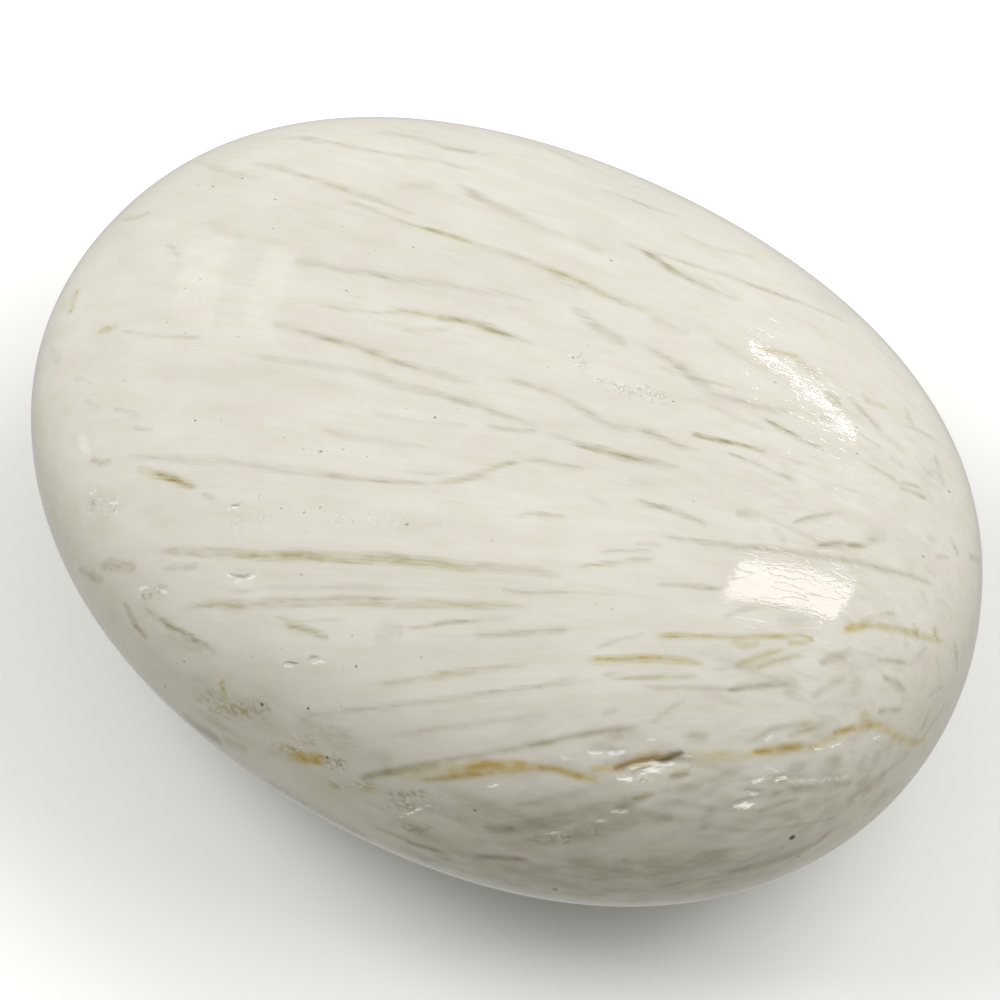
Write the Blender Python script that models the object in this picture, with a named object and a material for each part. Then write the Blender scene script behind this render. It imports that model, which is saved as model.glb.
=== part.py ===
"""A polished palm stone of scolecite, one solid stone, in metres with +Z up.

The stone is a pebble ground to fit a palm: a long rounded oval in plan, a broad low crown above and a
rounder belly below, thicker at its +X end. It stands on a small flat worn into the belly. One open seam
and a few chips are cut into its near wall. The origin is the middle of its box, at the flat's height.
"""

import math
from typing import NamedTuple

import bmesh
import bpy
from mathutils import Matrix, Vector

MM = 0.001

# Driving dimensions, in millimetres, from the middle of the girdle, the widest level of the stone.
HALF_LENGTH = 33.0
HALF_WIDTH = 25.2
CROWN_RISE = 11.0  # girdle to the top
BELLY_DROP = 11.5  # girdle to the lowest point, before the flat is worn
FLAT_WEAR = 0.2  # depth worn off the belly for the stone to rest on

# How full the section is: 2 is an ellipse, more is squarer at the shoulder.
CROWN_FULLNESS = 2.5
BELLY_FULLNESS = 2.35

# How the crown leans, and how the width grows, towards +X and +Y, as shares of the local size.
CROWN_LEAN_X = 0.32
CROWN_LEAN_Y = -0.20
WIDTH_GROWTH_X = 0.056

# The plan's departures from an ellipse, as shares of its radius: (waves per turn, cosine, sine).
OUTLINE_WAVES = ((3, 0.0120, 0.0017), (4, -0.0068, -0.0119))

SPHERE_SUBDIVISIONS = 5
CHIP_SUBDIVISIONS = 2
SHORTEST_EDGE = 0.05

STONE_COLOUR = (0.76, 0.74, 0.66, 1.0)
STONE_ROUGHNESS = 0.22
STONE_IOR = 1.515


class Chip(NamedTuple):
    """A hollow in the surface, where a bundle of needles has broken out."""

    turn: float  # degrees about +Z from +X
    tilt: float  # degrees above the girdle
    length: float  # mm
    width: float  # mm
    depth: float  # mm
    lean: float  # degrees from level, positive where the +X end is higher


CHIPS = (
    # The open seam: a shallow hollow that runs into a deeper one.
    Chip(turn=-33.0, tilt=29.0, length=3.6, width=1.5, depth=0.7, lean=-5.0),
    Chip(turn=-28.6, tilt=29.9, length=3.2, width=1.1, depth=0.9, lean=3.0),
    Chip(turn=-35.9, tilt=32.1, length=2.2, width=0.6, depth=0.35, lean=0.0),
    # Splinters lost beside it, round the +X end.
    Chip(turn=-18.6, tilt=20.4, length=2.6, width=1.3, depth=0.5, lean=-36.0),
    Chip(turn=-14.0, tilt=21.3, length=3.4, width=0.9, depth=0.4, lean=-2.0),
    # Small bruises at the thinner end.
    Chip(turn=-111.8, tilt=28.6, length=3.0, width=1.0, depth=0.35, lean=31.0),
    Chip(turn=-98.3, tilt=24.2, length=2.6, width=0.7, depth=0.3, lean=33.0),
    Chip(turn=-89.6, tilt=39.3, length=2.1, width=0.6, depth=0.3, lean=27.0),
)


def outline(turn: float) -> float:
    """The plan's radius at this turn, as a share of the ellipse: one plus a few low waves."""
    return 1.0 + sum(c * math.cos(n * turn) + s * math.sin(n * turn) for n, c, s in OUTLINE_WAVES)


def on_stone(turn: float, tilt: float) -> Vector:
    """The surface point, in mm, at this turn about +Z and this tilt above the girdle, in radians.

    The section is a superellipse: reach and rise are the shares of the full radius and height for which
    the sum of their powers is one. The crown's height also grows along its lean.
    """
    crown = tilt >= 0.0
    fullness = CROWN_FULLNESS if crown else BELLY_FULLNESS
    across, up = math.cos(tilt), math.sin(tilt)
    size = (abs(across) ** fullness + abs(up) ** fullness) ** (1.0 / fullness)
    reach, rise = across / size, up / size
    along, aside = reach * math.cos(turn), reach * math.sin(turn)
    swell = 1.0 + (outline(turn) - 1.0) * reach * reach
    lean = 1.0 + CROWN_LEAN_X * along + CROWN_LEAN_Y * aside
    return Vector(
        (
            HALF_LENGTH * along * swell,
            HALF_WIDTH * aside * swell * (1.0 + WIDTH_GROWTH_X * along),
            CROWN_RISE * rise * lean if crown else BELLY_DROP * rise,
        )
    )


def frame_on_stone(chip: Chip) -> Matrix:
    """A frame on the surface under a chip: X along it, Z straight out."""
    turn, tilt, step = math.radians(chip.turn), math.radians(chip.tilt), 0.01
    point = on_stone(turn, tilt)
    level = on_stone(turn + step, tilt) - on_stone(turn - step, tilt)
    upward = on_stone(turn, tilt + step) - on_stone(turn, tilt - step)
    out = level.cross(upward).normalized()
    along = (Matrix.Rotation(math.radians(chip.lean), 4, out) @ level).normalized()
    turned = Matrix((along, out.cross(along), out)).transposed()
    return Matrix.Translation(point) @ turned.to_4x4()


def pebble_mesh() -> bpy.types.Mesh:
    """An even ball of triangles carried out to the stone's surface, then worn flat underneath."""
    shape = bmesh.new()
    bmesh.ops.create_icosphere(shape, subdivisions=SPHERE_SUBDIVISIONS, radius=1.0)
    for vertex in shape.verts:
        tilt = math.asin(max(-1.0, min(1.0, vertex.co.z)))
        vertex.co = on_stone(math.atan2(vertex.co.y, vertex.co.x), tilt)
    worn = bmesh.ops.bisect_plane(
        shape,
        geom=[*shape.verts, *shape.edges, *shape.faces],
        plane_co=(0.0, 0.0, FLAT_WEAR - BELLY_DROP),
        plane_no=(0.0, 0.0, -1.0),
        clear_outer=True,
    )
    rim = [part for part in worn["geom_cut"] if isinstance(part, bmesh.types.BMEdge)]
    bmesh.ops.holes_fill(shape, edges=rim, sides=0)
    bmesh.ops.remove_doubles(shape, verts=shape.verts, dist=SHORTEST_EDGE)
    bmesh.ops.recalc_face_normals(shape, faces=shape.faces)
    mesh = bpy.data.meshes.new("palm_stone")
    shape.to_mesh(mesh)
    shape.free()
    return mesh


def chip_cutter(number: int, chip: Chip) -> bpy.types.Object:
    """A slim lens sunk in the surface, that a Boolean takes away. It isn't part of the stone."""
    shape = bmesh.new()
    bmesh.ops.create_icosphere(shape, subdivisions=CHIP_SUBDIVISIONS, radius=1.0)
    bmesh.ops.scale(shape, verts=shape.verts, vec=(chip.length / 2, chip.width / 2, chip.depth))
    bmesh.ops.transform(shape, verts=shape.verts, matrix=frame_on_stone(chip))
    mesh = bpy.data.meshes.new(f"chip_cutter_{number}")
    shape.to_mesh(mesh)
    shape.free()
    cutter = bpy.data.objects.new(mesh.name, mesh)
    cutter.hide_render = True
    cutter.display_type = "WIRE"
    return cutter


def stone_material() -> bpy.types.Material:
    """Polished scolecite: a milky, slightly warm white with a low gloss."""
    material = bpy.data.materials.new("polished_scolecite")
    material.use_nodes = True
    shader = material.node_tree.nodes["Principled BSDF"]
    shader.inputs["Base Color"].default_value = STONE_COLOUR
    shader.inputs["Roughness"].default_value = STONE_ROUGHNESS
    shader.inputs["Metallic"].default_value = 0.0
    shader.inputs["IOR"].default_value = STONE_IOR
    return material


def build() -> None:
    """Clears the scene and makes the stone, with its chips cut out of it."""
    for old in list(bpy.data.objects):
        bpy.data.objects.remove(old)
    collection = bpy.context.scene.collection
    mesh = pebble_mesh()
    cutters = [chip_cutter(number, chip) for number, chip in enumerate(CHIPS, 1)]

    # Everything moves together, so that the box's middle is at the origin and the flat is at Z 0.
    low = Vector(min(vertex.co[axis] for vertex in mesh.vertices) for axis in range(3))
    high = Vector(max(vertex.co[axis] for vertex in mesh.vertices) for axis in range(3))
    middle = Vector(((low.x + high.x) / 2, (low.y + high.y) / 2, low.z))
    placing = Matrix.Scale(MM, 4) @ Matrix.Translation(-middle)
    for shape in (mesh, *(cutter.data for cutter in cutters)):
        shape.transform(placing)

    mesh.shade_smooth()
    mesh.materials.append(stone_material())
    stone = bpy.data.objects.new("palm_stone", mesh)
    collection.objects.link(stone)
    for cutter in cutters:
        collection.objects.link(cutter)
        cut = stone.modifiers.new(cutter.name, "BOOLEAN")
        cut.operation = "DIFFERENCE"
        cut.solver = "EXACT"
        cut.object = cutter


build()
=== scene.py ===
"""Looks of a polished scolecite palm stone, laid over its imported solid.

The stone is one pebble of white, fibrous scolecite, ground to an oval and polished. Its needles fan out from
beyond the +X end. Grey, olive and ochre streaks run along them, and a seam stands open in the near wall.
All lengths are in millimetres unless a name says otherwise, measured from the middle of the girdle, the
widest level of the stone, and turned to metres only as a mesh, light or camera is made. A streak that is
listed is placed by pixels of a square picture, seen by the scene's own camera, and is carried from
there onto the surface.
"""

import logging
import math
from dataclasses import dataclass, field
from enum import Enum

import bpy
import numpy as np
from mathutils import Matrix, Vector


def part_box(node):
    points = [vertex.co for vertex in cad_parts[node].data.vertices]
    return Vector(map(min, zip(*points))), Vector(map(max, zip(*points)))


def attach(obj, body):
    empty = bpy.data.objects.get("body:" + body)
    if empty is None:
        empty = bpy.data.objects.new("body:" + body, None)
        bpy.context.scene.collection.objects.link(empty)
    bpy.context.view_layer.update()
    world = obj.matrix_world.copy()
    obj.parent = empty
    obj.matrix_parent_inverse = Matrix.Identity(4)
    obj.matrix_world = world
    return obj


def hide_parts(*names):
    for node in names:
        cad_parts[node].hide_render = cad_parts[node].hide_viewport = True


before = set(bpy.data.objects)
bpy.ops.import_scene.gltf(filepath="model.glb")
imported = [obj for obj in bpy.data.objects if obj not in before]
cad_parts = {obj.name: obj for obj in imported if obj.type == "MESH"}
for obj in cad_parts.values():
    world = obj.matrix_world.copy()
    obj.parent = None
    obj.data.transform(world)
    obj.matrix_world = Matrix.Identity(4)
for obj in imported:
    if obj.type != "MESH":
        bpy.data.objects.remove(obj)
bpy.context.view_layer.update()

LOG = logging.getLogger("palm_stone")
NODE = "palm_stone"
PICTURE = 1000  # pixels along each side of the picture
LONG_STREAK = 60  # pixels across the picture from which a streak shows how the needles lie


def linear(code: str) -> tuple[float, float, float, float]:
    """Turns an sRGB hex colour into linear red, green and blue, with an alpha of 1.

    Args:
        code: six hex digits, such as "e8e4d6".

    Returns:
        The linear colour.
    """
    shares = (int(code[start:start + 2], 16) / 255 for start in (0, 2, 4))
    return (*(s / 12.92 if s <= 0.04045 else ((s + 0.055) / 1.055) ** 2.4 for s in shares), 1.0)


def unit(vectors: np.ndarray) -> np.ndarray:
    """Vectors of length one along the given ones."""
    return vectors / np.maximum(np.linalg.norm(vectors, axis=-1, keepdims=True), 1e-12)


def smooth(low: float, high: float, values: np.ndarray) -> np.ndarray:
    """Rises from 0 at low to 1 at high, level at both ends."""
    share = np.clip((values - low) / (high - low), 0.0, 1.0)
    return share * share * (3.0 - 2.0 * share)


def toward(azimuth: float, elevation: float) -> np.ndarray:
    """The unit direction at an azimuth from +X about +Z and an elevation above level, in degrees."""
    turn, lift = math.radians(azimuth), math.radians(elevation)
    return np.array((math.cos(turn) * math.cos(lift), math.sin(turn) * math.cos(lift), math.sin(lift)))


def even_spacing(start: float, stop: float, count: int, speed: np.ndarray) -> np.ndarray:
    """Spreads parameters so that equal numbers of steps cover equal shares of the summed speed.

    Args:
        start: first parameter.
        stop: last parameter.
        count: number of parameters, with both ends.
        speed: how much is covered per unit of parameter, sampled evenly from start to stop.

    Returns:
        The parameters.
    """
    ground = np.concatenate(([0.0], np.cumsum((speed[1:] + speed[:-1]) / 2.0)))
    return np.interp(np.linspace(0.0, ground[-1], count), ground, np.linspace(start, stop, speed.size))


@dataclass
class StoneForm:
    """The ground pebble: a superellipse in section, an uneven oval in plan, its crown leaning to one end."""

    half_length: float = 33.0
    half_width: float = 25.2
    crown_rise: float = 11.0
    belly_drop: float = 11.5
    flat_wear: float = 0.2
    crown_fullness: float = 2.5
    belly_fullness: float = 2.35
    crown_lean: tuple[float, float] = (0.32, -0.20)
    width_growth: float = 0.056
    outline_waves: tuple = ((3, 0.0120, 0.0017), (4, -0.0068, -0.0119))

    def swell(self, along: np.ndarray, aside: np.ndarray) -> np.ndarray:
        """How far the outline's waves carry a point out, fading towards the middle of the plan."""
        turn = np.arctan2(aside, along)
        waves = sum(c * np.cos(n * turn) + s * np.sin(n * turn) for n, c, s in self.outline_waves)
        return 1.0 + waves * (along ** 2 + aside ** 2)

    def lean(self, along: np.ndarray, aside: np.ndarray) -> np.ndarray:
        """How much higher or lower the crown is here than at the middle."""
        return 1.0 + self.crown_lean[0] * along + self.crown_lean[1] * aside

    def point(self, heading: np.ndarray) -> np.ndarray:
        """Carries headings on a unit ball out to the surface.

        Reach and rise are the shares of the full radius and height whose powers add up to one. Reach is
        split along X and Y by the turn about Z, and swollen by the outline's waves. Rise is stretched by
        the crown's lean.

        Args:
            heading: rows of unit vectors.

        Returns:
            Rows of surface points.
        """
        across, up = np.hypot(heading[..., 0], heading[..., 1]), heading[..., 2]
        fullness = np.where(up >= 0.0, self.crown_fullness, self.belly_fullness)
        size = (across ** fullness + np.abs(up) ** fullness) ** (1.0 / fullness)
        along, aside, rise = (heading[..., axis] / size for axis in range(3))
        swell = self.swell(along, aside)
        height = np.where(up >= 0.0, self.crown_rise * rise * self.lean(along, aside), self.belly_drop * rise)
        width = self.half_width * (1.0 + self.width_growth * along)
        lowest = self.flat_wear - self.belly_drop
        return np.stack(
            (self.half_length * along * swell, width * aside * swell, np.maximum(height, lowest)), axis=-1
        )

    def heading(self, points: np.ndarray) -> np.ndarray:
        """The headings whose surface points lie the same way out as these points, by a few repeats.

        Args:
            points: rows of points near the surface.

        Returns:
            Rows of unit headings.
        """
        along, aside = points[..., 0] / self.half_length, points[..., 1] / self.half_width
        for _ in range(6):
            swell = self.swell(along, aside)
            along = points[..., 0] / (self.half_length * swell)
            aside = points[..., 1] / (self.half_width * (1.0 + self.width_growth * along) * swell)
        crown = self.crown_rise * self.lean(along, aside)
        rise = points[..., 2] / np.where(points[..., 2] >= 0.0, crown, self.belly_drop)
        return unit(np.stack((along, aside, rise), axis=-1))

    def out(self, heading: np.ndarray) -> np.ndarray:
        """The outward unit normals at these headings, from the surface's slope along two small steps.

        Args:
            heading: rows of unit vectors.

        Returns:
            Rows of unit normals.
        """
        step = 1e-4
        pick = np.where(np.abs(heading[..., :1]) < 0.8, [1.0, 0.0, 0.0], [0.0, 1.0, 0.0])
        first = unit(np.cross(heading, pick))
        slopes = [
            self.point(unit(heading + step * way)) - self.point(unit(heading - step * way))
            for way in (first, np.cross(heading, first))
        ]
        normal = unit(np.cross(*slopes))
        return normal * np.sign((normal * heading).sum(axis=-1, keepdims=True) + 1e-9)

    def meet(self, eye: np.ndarray, rays: np.ndarray) -> tuple[np.ndarray, np.ndarray]:
        """Where rays from one point meet the surface.

        Each ray is carried to the plane that touches the surface where the last guess lay, again and again.

        Args:
            eye: the rays' start.
            rays: rows of unit directions.

        Returns:
            Rows of surface points, and rows of their outward normals.
        """
        spots = eye + rays * ((self.crown_rise / 2 - eye[2]) / rays[:, 2:3])
        for _ in range(12):
            heading = self.heading(spots)
            touch, normal = self.point(heading), self.out(heading)
            lean = (rays * normal).sum(axis=1, keepdims=True)
            lean = np.minimum(lean, -0.05)
            spots = eye + rays * (((touch - eye) * normal).sum(axis=1, keepdims=True) / lean)
        return touch, normal


@dataclass
class Placing:
    """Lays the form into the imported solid's box."""

    form_low: np.ndarray
    form_high: np.ndarray
    low: np.ndarray
    high: np.ndarray

    def metres(self, points: np.ndarray) -> np.ndarray:
        """The same points in metres, in the frame: the form's box stretched to the solid's own."""
        share = (np.asarray(points) - self.form_low) / (self.form_high - self.form_low)
        return self.low + share * (self.high - self.low)


@dataclass
class Viewpoint:
    """Where the stone is looked at from: across the near side, well above it, through a long lens."""

    azimuth: float = -43.07
    elevation: float = 50.0
    distance: float = 450.0
    pixels_per_mm: float = 16.264
    aim_right: float = 0.215
    aim_down: float = 0.775
    sensor: float = 36.0

    def __post_init__(self) -> None:
        """Works out the view's own directions from its two angles."""
        self.back = toward(self.azimuth, self.elevation)
        self.right = toward(self.azimuth + 90.0, 0.0)
        self.up = np.cross(self.back, self.right)
        self.eye = self.aim_right * self.right - self.aim_down * self.up + self.distance * self.back

    def rays(self, pixels: np.ndarray) -> np.ndarray:
        """The unit directions from the eye through rows of pixels."""
        right, down = np.hsplit((pixels - PICTURE / 2) / self.pixels_per_mm, 2)
        return unit(right * self.right - down * self.up - self.distance * self.back)

    def make_camera(self, placing: Placing) -> None:
        """Puts a camera at the eye and makes it the scene's own.

        Args:
            placing: turns the stone's own millimetres into metres in the frame.
        """
        data = bpy.data.cameras.new("view")
        data.sensor_width = self.sensor
        data.lens = self.sensor * self.pixels_per_mm * self.distance / PICTURE
        data.clip_start, data.clip_end = 0.01, 10.0
        camera = bpy.data.objects.new("view", data)
        turned = Matrix((self.right, self.up, self.back)).transposed().to_4x4()
        camera.matrix_world = Matrix.Translation(placing.metres(self.eye)) @ turned
        bpy.context.scene.collection.objects.link(camera)
        bpy.context.scene.camera = camera


class Tint(Enum):
    """What a streak is made of, with its colour where it is at its strongest over a white ground.
    The darkest tint mostly paints shade, and the white one paints crushed crystal together with glints.
    """

    GREY = "cec9c0"
    OLIVE = "bcb89c"
    KHAKI = "c3ba8e"
    OCHRE = "cbbd70"
    ORANGE = "e6cc5e"
    RUST = "967a30"
    # Dark specks and knots, and painted shade by the rim, along the belly and beside glints.
    SPECK_AND_SHADE = "5a564c"
    # White of crushed crystal, and painted glints where chip and pit facets catch the light.
    FROST_AND_GLINT = "f3f2ec"

    def place(self) -> float:
        """How far along the ramp of streak colours this one lies, from 0 to 1."""
        return list(Tint).index(self) / (len(Tint) - 1)


@dataclass
class Mark:
    """One streak along the needles.

    Its path is given in pixels. Its half widths, above and below the path as the picture shows it, and
    the width over which its edges fade, are in millimetres. Strength is how much of the tint shows, and
    mottle how much it breaks up into spots.
    """

    name: str
    path: tuple
    above: float
    below: float
    strength: float
    tint: Tint = Tint.GREY
    soft: float = 0.18
    mottle: float = 0.0
    points: np.ndarray | None = None
    normals: np.ndarray | None = None
    step: float = 0.25

    def lay(self, form: StoneForm, view: Viewpoint) -> None:
        """Carries the path from the picture onto the surface, with points about a step apart.

        The path runs through its pixels as a chain of cubic curves whose tangents are those of the chords
        between each pixel's two neighbours.

        Args:
            form: the surface.
            view: what the pixels are seen from.
        """
        knots = np.array(self.path, float)
        padded = np.concatenate((2 * knots[:1] - knots[1:2], knots, 2 * knots[-1:] - knots[-2:-1]))
        tangents = (padded[2:] - padded[:-2]) / 2
        pieces = []
        for start, stop, leave, arrive in zip(knots[:-1], knots[1:], tangents[:-1], tangents[1:]):
            count = max(2, int(np.linalg.norm(stop - start) / view.pixels_per_mm / self.step))
            t = np.linspace(0.0, 1.0, count, endpoint=False)[:, None]
            pieces.append(
                (2 * t ** 3 - 3 * t ** 2 + 1) * start + (t ** 3 - 2 * t ** 2 + t) * leave
                + (3 * t ** 2 - 2 * t ** 3) * stop + (t ** 3 - t ** 2) * arrive
            )
        pixels = np.concatenate((*pieces, knots[-1:]))
        self.points, self.normals = form.meet(view.eye, view.rays(pixels))


GREY, OLIVE, KHAKI, OCHRE, ORANGE, RUST, SPECK_AND_SHADE, FROST_AND_GLINT = Tint

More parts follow.
